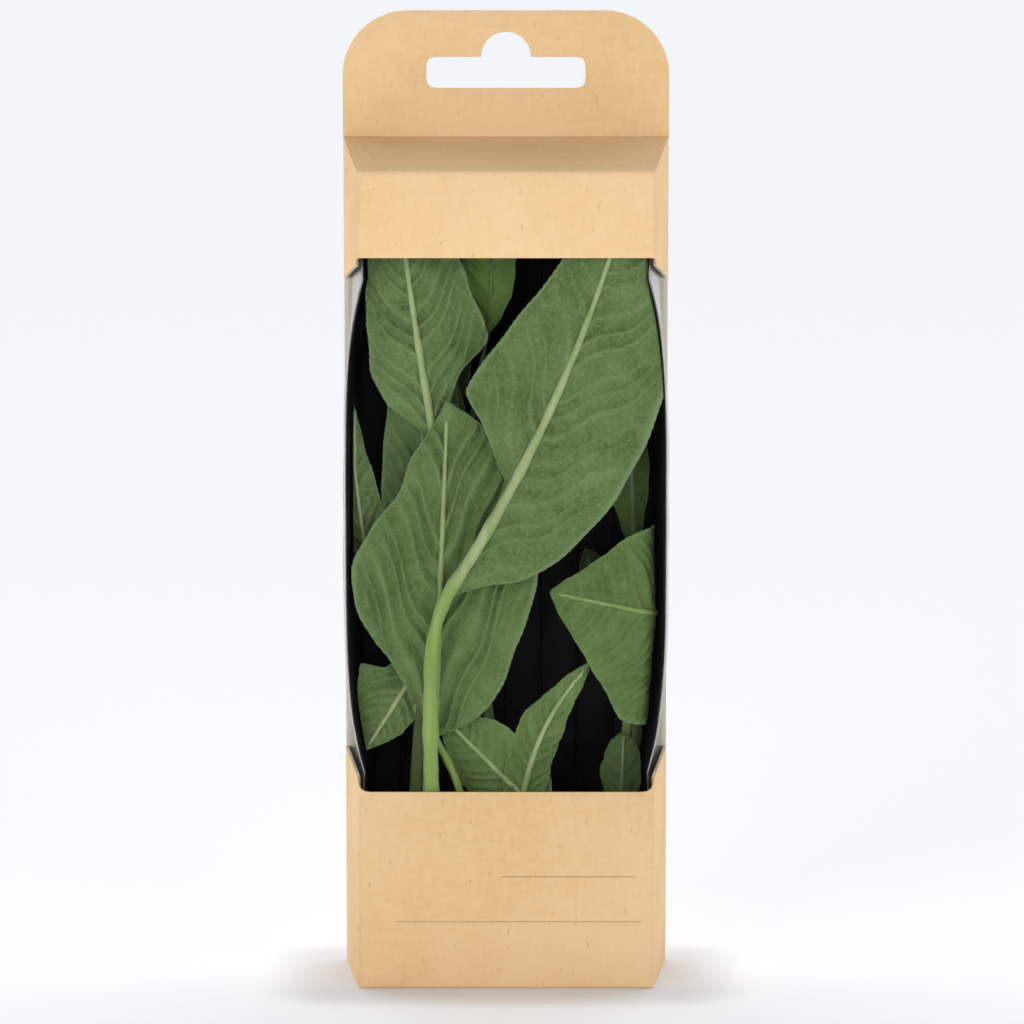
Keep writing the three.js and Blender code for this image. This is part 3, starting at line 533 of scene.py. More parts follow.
def tab_outline(grow):
    """The hang tab's outline above the shoulder, moved outwards by grow."""
    half = TAB_WIDTH / 2 + grow
    low = SHOULDER_BACK_Z + 1.2 - grow
    radius = TAB_RADIUS + grow
    centre_x = TAB_WIDTH / 2 - TAB_RADIUS
    centre_z = PACK_HEIGHT - TAB_RADIUS
    right = arc(centre_x, centre_z, radius, 0, math.pi / 2, 16)
    left = arc(-centre_x, centre_z, radius, math.pi / 2, math.pi, 16)
    return [(-half, low), (half, low)] + right + left


def bar_cutter(name, low, high):
    """A box between two corners."""
    (x0, y0, z0), (x1, y1, z1) = low, high
    points = [(x, y, z) for x in (x0, x1) for y in (y0, y1) for z in (z0, z1)]
    faces = [(0, 1, 3, 2), (4, 6, 7, 5), (0, 4, 5, 1), (2, 3, 7, 6), (0, 2, 6, 4), (1, 5, 7, 3)]
    return new_piece(name, points, faces, None, smooth=False)


def board_grooves(settings):
    """Cutters for the lines where board meets board: the tab's two plies, the tuck flap of the
    base with its two slits, the glued flap of the back and the tab's pressed fold."""
    groove = settings.groove / MM
    ply = BACK_Y - BOARD
    flap_y = BACK_Y - FLAP_INSET
    flap_half = carton_half(flap_y, 0) - 3
    cutters = [
        ring_cutter("ply_line", tab_outline(0.8), tab_outline(-groove), ply - PLY_JOIN_HALF,
                    ply + PLY_JOIN_HALF),
        bar_cutter("flap_line", (-flap_half, flap_y - JOIN_HALF, -0.5),
                   (flap_half, flap_y + JOIN_HALF, groove)),
        bar_cutter("seam_line", (SEAM_X - JOIN_HALF, BACK_Y - groove, SEAM_LOW_Z),
                   (SEAM_X + JOIN_HALF, BACK_Y + 0.5, SHOULDER_BACK_Z - 1)),
        bar_cutter("tab_fold", (-TAB_WIDTH / 2 + 1, BACK_Y - groove, SHOULDER_BACK_Z - 0.2),
                   (TAB_WIDTH / 2 - 1, BACK_Y + 0.5, SHOULDER_BACK_Z + 0.1)),
    ]
    for x in (-flap_half, flap_half):
        cutters.append(bar_cutter("flap_slit", (x - JOIN_HALF, flap_y - SLIT_LENGTH, -0.5),
                                  (x + JOIN_HALF, flap_y, groove)))
    return cutters


def make_carton(settings):
    """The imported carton's own shape with its board edges eased and its joins cut in."""
    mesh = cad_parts["carton"].data.copy()
    mesh.name = "kraft_carton"
    form = bmesh.new()
    form.from_mesh(mesh)
    bmesh.ops.remove_doubles(form, verts=form.verts, dist=1e-6)
    bmesh.ops.dissolve_limit(form, angle_limit=FLAT_WITHIN, verts=form.verts, edges=form.edges)
    sharp = [edge for edge in form.edges
             if len(edge.link_faces) == 2 and edge.calc_face_angle(0) > EASED_FROM]
    bmesh.ops.bevel(form, geom=sharp, offset=settings.edge, segments=2, profile=0.5,
                    affect="EDGES", clamp_overlap=True)
    form.to_mesh(mesh)
    form.free()
    piece = placed("kraft_carton", mesh)
    cutters = board_grooves(settings)
    for cutter in cutters:
        cut = piece.modifiers.new(cutter.name, "BOOLEAN")
        cut.object = cutter
        cut.operation = "DIFFERENCE"
        cut.solver = "EXACT"
    baked(piece)
    for cutter in cutters:
        remove(cutter)
    mesh = piece.data
    mesh.materials.clear()
    mesh.materials.append(kraft_board(settings))
    mark_board_faces(mesh)
    mesh.polygons.foreach_set("use_smooth", [True] * len(mesh.polygons))
    mesh.set_sharp_from_angle(angle=BOARD_SHARP_FROM)
    seat(piece, "carton")


def mark_board_faces(mesh):
    """Marks the faces inside the box, which are pale, and those cut through the board."""
    inner = np.zeros(len(mesh.polygons))
    cut = np.zeros(len(mesh.polygons))
    inner_depth = BOARD * BOARD_FACE_SHARE
    for i, face in enumerate(mesh.polygons):
        x, y, z = face.center / MM
        if z > shoulder_z(y) + 0.3:
            cut[i] = abs(face.normal.y) < 0.7
            continue
        side = Vector((math.copysign(1, x), -SIDE_SLOPE, 0)).normalized()
        top = Vector((0, -SHOULDER_SLOPE, 1)).normalized()
        sheets = (
            (y - FRONT_Y, Vector((0, -1, 0))),
            (BACK_Y - y, Vector((0, 1, 0))),
            (carton_half(y, 0) - abs(x), side),
            (z, Vector((0, 0, -1))),
            (shoulder_z(y) - z, top),
        )
        depth, outwards = min(sheets, key=lambda sheet: sheet[0])
        inner[i] = depth > inner_depth
        cut[i] = 0.1 < depth <= inner_depth and abs(face.normal.dot(outwards)) < 0.5
    set_values(mesh, "FACE", {"inner": inner, "cut": cut})


# Window film


def film_outline(z, inset, front_steps, corner_steps, side_steps):
    """One level section of the film, from its back left edge round to its back right edge."""
    near_half, far_half = film_halves(z)
    corner_radius, near = film_corner(z)
    crown = (FILM_PROUD_MIDDLE - FILM_PROUD_CORNER) * swell(z, WINDOW_LOW_Z, WINDOW_HIGH_Z)
    share = np.linspace(0, 1, front_steps + 1)
    x = [(near_half - corner_radius) * share]
    y = [near - crown * (1 - share ** 2) + inset]
    turn = np.linspace(0, math.pi / 2, corner_steps + 1)[1:]
    reach = corner_radius - inset
    x.append(near_half - corner_radius + reach * np.sin(turn))
    y.append(near + corner_radius - reach * np.cos(turn))
    along = np.linspace(0, 1, side_steps + 1)[1:]
    x.append(near_half + (far_half - near_half) * along - inset)
    y.append(near + corner_radius + (FILM_FAR_Y - near - corner_radius) * along)
    x, y = np.concatenate(x), np.concatenate(y)
    x = np.concatenate([-x[:0:-1], x])
    y = np.concatenate([y[:0:-1], y])
    return np.stack([x, y, np.full_like(x, z)], axis=-1)


def film_wrinkles(points, settings):
    """How far the film is drawn inwards: long soft pulls from the window's corners and the folds
    that they leave along its sides."""
    x, y, z = points[..., 0], points[..., 1], points[..., 2]
    height = settings.wrinkle / MM
    open_part = swell(z, WINDOW_LOW_Z - 0.5, WINDOW_HIGH_Z + 0.5)
    pulled = np.zeros_like(x)
    for side in (-1, 1):
        for corner_z, rise in ((WINDOW_LOW_Z, 1), (WINDOW_HIGH_Z, -1)):
            aside = FRONT_WIDTH / 2 - side * x
            above = (z - corner_z) * rise
            near = np.exp(-(np.hypot(aside, above) / WRINKLE_REACH) ** 2)
            bearing = np.arctan2(above, np.maximum(aside, 0.2))
            fan = np.sin(bearing * 11 + side + rise) * near
            pulled += 0.5 * (fan + near) * (side * x + FRONT_WIDTH / 2 > 0)
    ripples = 0.35 * (1 + np.sin(z * 0.31 + 1.2 * np.sin(z * 0.13) + x * 0.05))
    ripples = ripples * np.exp(-((y - FRONT_Y - 3) / 6) ** 2) * (np.abs(x) > FRONT_WIDTH / 2 - 5)
    soft = 0.2 * (1 + np.sin(x * 0.21 + z * 0.05) * np.sin(z * 0.09 + 0.7))
    return height * open_part * (pulled + ripples + soft)


def make_film(settings):
    """One thin sheet behind the wrap-round window, proud of the board in the middle."""
    low = WINDOW_LOW_Z - FILM_MARGIN
    high = WINDOW_HIGH_Z + FILM_MARGIN
    levels = np.linspace(low, high, FILM_LEVELS)
    points = np.stack([film_outline(z, FILM_SETBACK, *FILM_STEPS) for z in levels])
    rows, columns = points.shape[:2]
    along = np.gradient(points, axis=1)
    inwards = np.stack([-along[..., 1], along[..., 0], np.zeros((rows, columns))], axis=-1)
    inwards /= np.linalg.norm(inwards, axis=-1, keepdims=True)
    points = points + inwards * film_wrinkles(points, settings)[..., None]
    piece = new_piece("clear_film", points.reshape(-1, 3), grid_faces(rows, columns),
                      clear_film(settings))
    wall = piece.modifiers.new("thickness", "SOLIDIFY")
    wall.thickness = settings.thickness
    wall.offset = -1
    baked(piece)
    seat(piece, "window_film")


# Tray


def tray_ring(y, inset, steps=9):
    """The tray's outline at depth y, moved inwards by inset."""
    low = TRAY_LOW_Z + inset
    high = TRAY_HIGH_Z - inset
    radius = TRAY_RADIUS
    turn = np.linspace(0, math.pi / 2, steps)
    corner_x = TRAY_END_HALF - inset - radius * (1 - np.sin(turn))
    corner_z = radius * (1 - np.cos(turn))
    middle_z = np.linspace(TRAY_SWELL_LOW_Z, TRAY_SWELL_HIGH_Z, 60)
    x = np.concatenate([corner_x, tray_half(middle_z) - inset, corner_x[::-1]])
    z = np.concatenate([low + corner_z, middle_z, high - corner_z[::-1]])
    x = np.concatenate([x, -x[::-1]])
    z = np.concatenate([z, z[::-1]])
    return np.stack([x, np.full_like(x, y), z], axis=-1)


def tray_loops():
    """Depths and insets from the floor's outer face, over the rim, to the floor's inner face."""
    rim = TRAY_WALL / 2
    quarter = np.linspace(0, math.pi / 2, 7)

    def fillet(turns, radius, wall):
        return [(TRAY_BACK_Y - wall - radius * (1 - math.cos(turn)),
                 TRAY_DRAFT + wall + radius * (1 - math.sin(turn))) for turn in turns]

    over_rim = [(TRAY_RIM_Y + rim - rim * math.sin(turn), rim * (1 - math.cos(turn)))
                for turn in np.linspace(0, math.pi, 9)]
    return (fillet(quarter, TRAY_FILLET, 0) + over_rim
            + fillet(quarter[::-1], TRAY_FILLET - rim, TRAY_WALL))


def make_tray(settings):
    """The formed black tray behind the leaves, with a rounded rim and drawn corners."""
    material = black_plastic(settings)
    rings = [tray_ring(y, inset) for y, inset in tray_loops()]
    rows, columns = len(rings), len(rings[0])
    points = np.concatenate(rings)
    faces = grid_faces(rows, columns, closed=True)
    faces.append(tuple(range(columns)))
    faces.append(tuple((rows - 1) * columns + i for i in reversed(range(columns))))
    piece = new_piece("black_tray", points, faces, material)
    face_outwards(piece.data)
    piece.data.set_sharp_from_angle(angle=math.radians(40))
    seat(piece, "tray")
    make_tray_ribs(settings, material)


def new_tree(name, inputs):
    """A geometry node tree, its nodes, its input sockets and their values, from the kind of
    each input by its name."""
    tree = bpy.data.node_groups.new(name, "GeometryNodeTree")
    nodes = Nodes(tree)
    geometry = {"Geometry": "Geometry"}
    sockets = {
        key: tree.interface.new_socket(
            name=key, in_out="INPUT", socket_type=f"NodeSocket{kind}")
        for key, kind in {**geometry, **inputs, "Material": "Material"}.items()}
    tree.interface.new_socket(name="Geometry", in_out="OUTPUT", socket_type="NodeSocketGeometry")
    entry = tree.nodes.new("NodeGroupInput")
    given = {key: Value(nodes, entry.outputs[key]) for key in sockets}
    return tree, nodes, sockets, given


def end_tree(nodes, geometry, material):
    whole = nodes.add("GeometryNodeSetMaterial", {}, {
        "Geometry": geometry, "Material": material})
    nodes.add("NodeGroupOutput", {}, {"Geometry": whole})


def rib_tree():
    """Round-topped ribs side by side along a row."""
    tree, nodes, sockets, given = new_tree("tray_ribs", {
        "Count": "Int", "Spacing": "Float", "Length": "Float", "Radius": "Float",
        "Place": "Vector"})
    step = nodes.add("ShaderNodeCombineXYZ", {}, {0: given["Spacing"]})
    row = nodes.add("GeometryNodeMeshLine", {}, {
        "Count": given["Count"], "Start Location": given["Place"], "Offset": step})
    half = nodes.add("ShaderNodeCombineXYZ", {}, {2: given["Length"] * 0.5})
    foot = nodes.add("ShaderNodeCombineXYZ", {}, {2: given["Length"] * -0.5})
    spine = nodes.add("GeometryNodeCurvePrimitiveLine", {}, {"Start": foot, "End": half})
    spine = nodes.add("GeometryNodeResampleCurve", {}, {"Curve": spine, "Count": 24})
    share = nodes.add("GeometryNodeSplineParameter")
    taper = (1 - (share * 2 - 1) ** 8).math("SQRT")
    profile = nodes.add("GeometryNodeCurvePrimitiveCircle", {}, {
        "Resolution": 12, "Radius": given["Radius"]})
    rib = nodes.add("GeometryNodeCurveToMesh", {}, {
        "Curve": spine, "Profile Curve": profile, "Scale": taper.math("MAXIMUM", 0.05),
        "Fill Caps": True})
    ribs = nodes.add("GeometryNodeInstanceOnPoints", {}, {"Points": row, "Instance": rib})
    ribs = nodes.add("GeometryNodeRealizeInstances", {}, {"Geometry": ribs})
    ribs = nodes.add("GeometryNodeSetShadeSmooth", {}, {"Geometry": ribs})
    end_tree(nodes, ribs, given["Material"])
    return tree, sockets


def grown(name, tree, sockets, values, base=None):
    """A piece made by a geometry node tree, whose inputs are given by name."""
    piece = placed(name, base or bpy.data.meshes.new(name))
    modifier = piece.modifiers.new("shape", "NODES")
    modifier.node_group = tree
    for key, value in values.items():
        modifier[sockets[key].identifier] = value
    return baked(piece)


def make_tray_ribs(settings, material):
    tree, sockets = rib_tree()
    left = -settings.rib_spacing * (RIB_COUNT - 1) / 2
    values = {
        "Count": RIB_COUNT,
        "Spacing": settings.rib_spacing,
        "Length": RIB_LENGTH * MM,
        "Radius": settings.rib_radius,
        "Place": (left, (TRAY_BACK_Y - TRAY_WALL) * MM, RIB_MIDDLE_Z * MM),
        "Material": material,
    }
    seat(grown("tray_ribs", tree, sockets, values), "tray")


# Sage


@dataclass
class Leaf:
    """A blade from base to tip, both (x, z) as seen from the front, at the depth y. left and
    right give a side's (t, width) places between its ends, or its greatest width and its
    fullness towards the base and the tip. route leads from the stem to the base, bend bows the
    midrib, arch and wave curve the blade backwards, and lift tips it. rib is the midrib's
    radius, lean how far a side vein runs on for each step out from the midrib, and pleat how
    deep the blade sinks between the veins. pale_rib and young are shares of a colour, and
    shaded the share of painted shade."""
    base: tuple
    tip: tuple
    y: float
    left: tuple
    right: tuple
    route: tuple
    bend: float = 0
    arch: float = 0.7
    wave: float = 0.35
    lift: float = 0
    rib: float = 0.8
    fine: bool = False
    turns_back: bool = False
    lean: tuple = (1.1, 1.1)
    pleat: float = 1
    pale_rib: float = 1
    young: float = 0.15
    shaded: float = 0

    @property
    def length(self):
        return math.dist(self.base, self.tip)


def smooth_leaf(base, tip, left, right, y, route, **others):
    """A leaf of which only the greatest width of each side is given."""
    return Leaf(base=base, tip=tip, left=(left,), right=(right,), y=y, route=route, **others)


def width_through(places, t):
    """The width at t on a smooth line through (t, width) places, never swinging past them."""
    at, widths = np.array(places, float).T
    slopes = np.diff(widths) / np.diff(at)
    product = slopes[:-1] * slopes[1:]
    total = np.where(product > 0, slopes[:-1] + slopes[1:], 1)
    middle = np.where(product > 0, 2 * product / total, 0)
    tangents = np.concatenate([slopes[:1], middle, slopes[-1:]])
    i = np.clip(np.searchsorted(at, t, side="left") - 1, 0, len(at) - 2)
    gap = at[i + 1] - at[i]
    u = np.clip((t - at[i]) / gap, 0, 1)
    bow = gap * u * (1 - u) * ((1 - u) * tangents[i] - u * tangents[i + 1])
    return (widths[i] * (1 + 2 * u) * (1 - u) ** 2 + widths[i + 1] * (3 - 2 * u) * u ** 2
            + bow)


def side_width(side, t):
    """The width of one side of a blade at t, from its base (0) to its tip (1)."""
    if isinstance(side[0], tuple):
        start = () if side[0][0] == 0 else ((0, END_WIDTH),)
        return width_through((*start, *side, (1, END_WIDTH)), t)
    widest, base, tip = (*side, *(0.7, 0.75)[len(side) - 1:])
    along = np.clip(t, 0.004, 0.996)
    peak = base / (base + tip)
    return widest * along ** base * (1 - along) ** tip / (peak ** base * (1 - peak) ** tip)


def midrib_at(leaf, t):
    """The midrib's place and direction at t, as seen from the front."""
    base, tip = np.array(leaf.base, float), np.array(leaf.tip, float)
    along = tip - base
    left = np.array([-along[1], along[0]]) / leaf.length
    control = base + along / 2 + left * 2 * leaf.bend
    t = np.asarray(t, float)[..., None]
    place = (1 - t) ** 2 * base + 2 * t * (1 - t) * control + t ** 2 * tip
    direction = (1 - t) * (control - base) + t * (tip - control)
    return place, direction / np.linalg.norm(direction, axis=-1, keepdims=True)


def turned_back(x, y, z, offset):
    """A leaf too broad for the pack turns back along the film."""
    edge = room_half(y, z) - TURN_RADIUS - SOLID_BLADE / 2 - 1
    excess = np.abs(x) - edge
    turn = np.clip(excess / TURN_RADIUS, 0, math.pi / 2)
    reach = TURN_RADIUS - offset
    straight = np.maximum(excess - TURN_RADIUS * math.pi / 2, 0)
    bent_x = np.sign(x) * (edge + reach * np.sin(turn))
    bent_y = y + TURN_RADIUS - reach * np.cos(turn) + straight
    flat = excess <= 0
    return np.where(flat, x, bent_x), np.where(flat, y + offset, bent_y)


def blade_points(leaf, t, s, width, offset):
    """Places on the blade, at t along it and s across it from -1 to 1, where 1 is the left
    margin. offset is how far they lie behind the middle surface."""
    place, direction = midrib_at(leaf, t)
    arch = leaf.arch * s * s
    wave = leaf.wave * np.abs(s) * np.sin(9 * t + np.where(s > 0, 0.6, 2.4) + leaf.y)
    y = leaf.y + arch + wave + leaf.lift * (t - 0.5)
    x = place[..., 0] - direction[..., 1] * width * s
    z = place[..., 1] + direction[..., 0] * width * s
    if leaf.turns_back:
        x, y = turned_back(x, y, z, offset)
        return draped(x, y, z)
    room = room_half(y, z)
    return draped(np.clip(x, -room, room), y + offset, z)


def scatter(a, b, seed):
    """A number from 0 to 1 that looks random, the same each time for the same a and b."""
    whirl = np.sin(a * 127.1 + b * 311.7 + seed * 74.7) * 43758.5453
    return whirl - np.floor(whirl)


def cell_borders(u, v, size, seed):
    """1 on the borders between the cells of a jittered grid, and 0 inside them."""
    column, row = np.floor(u / size), np.floor(v / size)
    nearest = np.full(u.shape, 99.0)
    second = nearest.copy()
    for i in (-1, 0, 1):
        for j in (-1, 0, 1):
            a, b = column + i, row + j
            far = np.hypot((a + 0.15 + 0.7 * scatter(a, b, seed)) * size - u,
                           (b + 0.15 + 0.7 * scatter(a, b, seed + 1)) * size - v)
            second = np.minimum(second, np.maximum(nearest, far))
            nearest = np.minimum(nearest, far)
    return np.exp(-((second - nearest) / (0.2 * size)) ** 2)


def rise(value, low, high):
    """0 below low, 1 above high, and a smooth rise between them."""
    share = np.clip((value - low) / (high - low), 0, 1)
    return share * share * (3 - 2 * share)


def leaf_relief(leaf, t, s, width, seed):
    """How far the blade stands forward, and how much of a vein and of the rim each place is."""
    aside = np.abs(s) * width
    along = t * leaf.length
    lean = np.where(s > 0, leaf.lean[0], leaf.lean[1])
    slant = np.hypot(1, lean)
    gap = (VEIN_GAP_SHARE * leaf.length + VEIN_GAP_LEAST) * slant
    broad = max(width.max(), 1)
    forward = lean * aside * (0.75 + 0.5 * aside / broad)
    drift = 0.2 * np.sin(aside * 0.45 + along * 0.16 + seed) + np.where(s > 0, 0.5, 0)
    phase = (along - forward) / gap + drift
    phase = phase + 0.2 * np.sin(2.3 * phase + seed)
    number = np.floor(phase + 0.5)
    from_vein = (phase - number) * gap / slant
    fade = 1 - 0.75 * rise(np.abs(s), 0.6, 1)
    strong = 0.35 + 0.65 * scatter(number, np.sign(s), seed + 3)
    side_vein = np.exp(-(from_vein / (0.2 + 0.16 * fade)) ** 2) * fade * strong
    step = (aside * slant / CROSS_VEIN_GAP + 3 * scatter(number, np.sign(s), seed)
            + 0.3 * np.sin(along * 0.9 + seed))
    from_step = (step - np.floor(step + 0.5)) * CROSS_VEIN_GAP
    cross_vein = np.exp(-(from_step / 0.2) ** 2) * (1 - side_vein)
    across = s * width
    warped = (across + 0.3 * np.sin(1.9 * along + seed) + 0.2 * np.sin(0.7 * along),
              along + 0.3 * np.sin(2.1 * across + seed) + 0.2 * np.sin(0.8 * across))
    net = cell_borders(*warped, NET_CELL, seed)
    fine_net = cell_borders(*warped, FINE_NET_CELL, seed + 5)
    swelling = np.sin(0.83 * along + 1.3 * np.sin(0.4 * aside) + seed) * np.sin(0.9 * aside)
    rolling = np.sin(0.36 * along + 0.8 * s + seed) * np.sin(0.31 * aside + 0.5 * seed)
    pleat = 0.5 - 0.5 * np.cos(2 * math.pi * (phase - number))
    near_rib = np.exp(-(aside / 1.3) ** 2)
    rim = rise(np.abs(s), 0.93, 0.985)
    height = (0.26 * side_vein + 0.03 * cross_vein + 0.15 * net + 0.06 * fine_net
              - leaf.pleat * (0.2 + 0.26 * strong) * pleat * fade + 0.12 * swelling
              + 0.2 * rolling + 0.22 * near_rib + 0.14 * rim)
    ends = rise(t, 0, 0.05) * rise(1 - t, 0, 0.06)
    vein = np.clip(0.9 * side_vein + 0.1 * cross_vein + 0.42 * net + 0.2 * fine_net
                   + 0.6 * near_rib, 0, 1)
    return height * ends, vein, rim


def rounded(inwards, reach):
    """0 at an edge, rising in a quarter circle to 1 where it lies reach further in."""
    return np.sqrt(1 - np.clip(1 - inwards / reach, 0, 1) ** 2)


def margin_steps(core, fine):
    """Places across a blade from -1 to 1, closer together near its margins."""
    margin = (0.93, 0.95, 0.968, 0.984, 0.995, 1) if fine else (0.94, 0.98, 1)
    side = np.concatenate([np.linspace(0, 0.9, core), margin])
    return np.concatenate([-side[:0:-1], side])


def blade_mesh(leaf, settings, seed):
    """The points, faces and surface values of one blade."""
    pitch = settings.mesh_pitch / MM * (1 if leaf.fine else 2)
    rows = int(leaf.length / pitch) + 6
    t = np.linspace(0, 1, rows)[:, None]
    broad = max(side_width(leaf.left, t).max(), side_width(leaf.right, t).max())
    core = int(broad / pitch) + 3
    s = margin_steps(core, leaf.fine)[None, :]
    t, s = np.broadcast_arrays(t, s)
    width = np.where(s >= 0, side_width(leaf.left, t), side_width(leaf.right, t))
    teeth = np.abs(np.sin(math.pi * t * leaf.length / TOOTH_GAP + seed + 0.6 * np.sin(t * 31)))
    uneven = 0.16 * np.sin(t * 17 + seed * 1.7) + 0.1 * np.sin(t * 41 + seed)
    full = rise(width, 0.5, 3)
    width = width + full * (settings.tooth / MM * (teeth - 0.6) + uneven) * np.abs(s) ** 5
    width = np.maximum(width, LEAST_WIDTH)
    height, vein, rim = leaf_relief(leaf, t, s, width, seed)
    half = settings.blade / MM / 2 * rounded(1 - np.abs(s), ROUNDED_MARGIN)
    half = half * rounded(t, ROUNDED_END) * rounded(1 - t, ROUNDED_END)
    flat = blade_points(leaf, t, s, width, 0)
    behind = blade_points(leaf, t, s, width, 0.2) - flat
    behind /= np.linalg.norm(behind, axis=-1, keepdims=True)
    layers = []
    for side in (-1, 1):
        follow = 1 if side < 0 else 0.85
        layer = flat + behind * (side * half - follow * height)[..., None]
        layers.append(layer.reshape(-1, 3))
    columns = s.shape[1]
    count = rows * columns
    faces = grid_faces(rows, columns)
    faces += [face[::-1] for face in grid_faces(rows, columns, start=count)]
    grid = np.arange(count).reshape(rows, columns)
    border = [*grid[0], *grid[1:, -1], *grid[-1, -2::-1], *grid[-2:0:-1, 0]]
    border = [int(corner) for corner in border]
    for a, b in zip(border, border[1:] + border[:1]):
        faces.append([b, a, a + count, b + count])
    values = {
        "vein": np.concatenate([vein.ravel(), vein.ravel()]),
        "rim": np.concatenate([rim.ravel(), rim.ravel() * 0.5]),
        "upper": np.repeat([0, 1], count),
        "young": np.full(2 * count, leaf.young),
        # How much painted shade lies over the blade
        "shaded": np.full(2 * count, leaf.shaded),
    }
    return np.concatenate(layers), faces, values


def make_blade(name, node, leaf, settings, material, seed):
    points, faces, values = blade_mesh(leaf, settings, seed)
    piece = new_piece(name, points, faces, material)
    face_outwards(piece.data)
    set_values(piece.data, "POINT", values)
    seat(piece, node)


def smooth_route(points, step):
    """Closely spaced places on a smooth curve through the points, and the share along it."""
    points = np.asarray(points, float)
    first = 2 * points[0] - points[1]
    last = 2 * points[-1] - points[-2]
    knots = np.concatenate([[first], points, [last]])
    route = []
    for i in range(1, len(knots) - 2):
        near = knots[i - 1:i + 3]
        gaps = np.maximum(np.linalg.norm(np.diff(near, axis=0), axis=1) ** 0.5, 1e-4)
        at = np.concatenate([[0], np.cumsum(gaps)])
        count = max(2, int(np.linalg.norm(near[2] - near[1]) / step))
        u = np.linspace(at[1], at[2], count, endpoint=False)[:, None]
        pairs = [near[j] + (near[j + 1] - near[j]) * (u - at[j]) / (at[j + 1] - at[j])
                 for j in range(3)]
        bends = [pairs[j] + (pairs[j + 1] - pairs[j]) * (u - at[j]) / (at[j + 2] - at[j])
                 for j in range(2)]
        route.append(bends[0] + (bends[1] - bends[0]) * (u - at[1]) / (at[2] - at[1]))
    route = np.concatenate([*route, [knots[-2]]])
    lengths = np.concatenate([[0], np.cumsum(np.linalg.norm(np.diff(route, axis=0), axis=1))])
    return route, lengths / lengths[-1]


def stalk_tree():
    """Tubes along every edge path, with short hairs scattered over them."""
    tree, nodes, sockets, given = new_tree("downy_stalks", {
        "Corner Radius": "Float", "Hair Length": "Float", "Hair Density": "Float",
        "Seed": "Int"})
    paths = nodes.add("GeometryNodeMeshToCurve", {}, {"Mesh": given["Geometry"]})
    profile = nodes.add("GeometryNodeCurvePrimitiveQuadrilateral", {}, {
        "Width": STALK_SIDE, "Height": STALK_SIDE})
    profile = nodes.add("GeometryNodeFilletCurve", {"mode": "POLY"}, {
        "Curve": profile, "Count": 3, "Radius": given["Corner Radius"]})
    radius = nodes.add("GeometryNodeInputNamedAttribute", {"data_type": "FLOAT"},
                       {"Name": "radius_here"})
    tubes = nodes.add("GeometryNodeCurveToMesh", {}, {
        "Curve": paths, "Profile Curve": profile, "Scale": radius, "Fill Caps": True})
    tubes = nodes.add("GeometryNodeSetShadeSmooth", {}, {"Geometry": tubes})
    roots = nodes.add("GeometryNodeDistributePointsOnFaces", {}, {
        "Mesh": tubes, "Density": given["Hair Density"], "Seed": given["Seed"]})
    rotation = Value(nodes, roots.socket.node.outputs["Rotation"])
    tilt = nodes.add("FunctionNodeRandomValue", {"data_type": "FLOAT_VECTOR"}, {
        0: (-0.7, -0.7, 0), 1: (0.7, 0.7, 6.3), "Seed": given["Seed"]})
    tilt = nodes.add("FunctionNodeEulerToRotation", {}, {0: tilt})
    rotation = nodes.add("FunctionNodeRotateRotation", {"rotation_space": "LOCAL"},
                         {0: rotation, 1: tilt})
    size = nodes.add("FunctionNodeRandomValue", {"data_type": "FLOAT"}, {
        2: 0.45, 3: 1.0, "Seed": given["Seed"]}, output=1)
    hair = nodes.add("GeometryNodeMeshCone", {"fill_type": "NGON"}, {
        "Vertices": 3, "Side Segments": 1, "Fill Segments": 1, "Radius Top": 0.0,
        "Radius Bottom": HAIR_RADIUS * MM, "Depth": given["Hair Length"]})
    hairs = nodes.add("GeometryNodeInstanceOnPoints", {}, {
        "Points": roots, "Instance": hair, "Rotation": rotation, "Scale": size})
    hairs = nodes.add("GeometryNodeRealizeInstances", {}, {"Geometry": hairs})
    whole = nodes.add("GeometryNodeJoinGeometry", {}, {"Geometry": tubes})
    tree.links.new(hairs.socket, whole.socket.node.inputs[0])
    end_tree(nodes, whole, given["Material"])
    return tree, sockets


def path_mesh(name, routes, least_painted_shade):
    """A mesh of edge paths, from (points, radii, paleness, painted shade) for each path. The last
    argument is the least painted shade laid over them."""
    points, edges, radii, pales, shades = [], [], [], [], []
    for route, radius, pale, shade in routes:
        start = len(points)
        points += (route * MM).tolist()
        edges += [(start + i, start + i + 1) for i in range(len(route) - 1)]
        radii += list(radius * MM)
        pales += list(pale)
        shades += [max(shade, least_painted_shade)] * len(route)
    mesh = bpy.data.meshes.new(name)
    mesh.from_pydata(points, edges, [])
    set_values(mesh, "POINT", {"radius_here": radii, "pale": pales, "shaded": shades})
    return mesh


def lead_in(places):
    """The draped places of (x, z, y) places."""
    x, z, y = np.array(places, float).T
    return draped(x, y, z)


def kept_inside(route, radius):
    """The route, moved sideways where its tube would come too near to the film or the tray."""
    room = room_half(route[:, 1], route[:, 2]) - radius
    route[:, 0] = np.clip(route[:, 0], -room, room)
    return route


def leaf_stalk_route(leaf):
    """The leaf stalk's route, radius, paleness and painted shade, running on along the blade as
    its midrib."""
    steps = 12 if leaf.fine else 4
    t = 0.01 + 0.93 * np.linspace(0, 1, steps + 1)
    zero = np.zeros_like(t)
    rib = blade_points(leaf, t, zero, zero + 1, -0.45 - 0.1 * leaf.fine)
    route, share = smooth_route(np.concatenate([lead_in(leaf.route), rib]), STALK_STEP)
    blade_start = np.argmin(np.linalg.norm(route - rib[0], axis=1))
    uneven = 1 + 0.07 * np.sin(share * 61 + leaf.y) + 0.05 * np.sin(share * 137)
    radius = (leaf.rib + (RIB_TIP_RADIUS - leaf.rib) * share ** 1.3) * uneven
    pale = np.clip((np.arange(len(route)) - blade_start) * STALK_STEP / 12 + 0.35, 0, 1)
    return kept_inside(route, radius), radius, pale * leaf.pale_rib, leaf.shaded


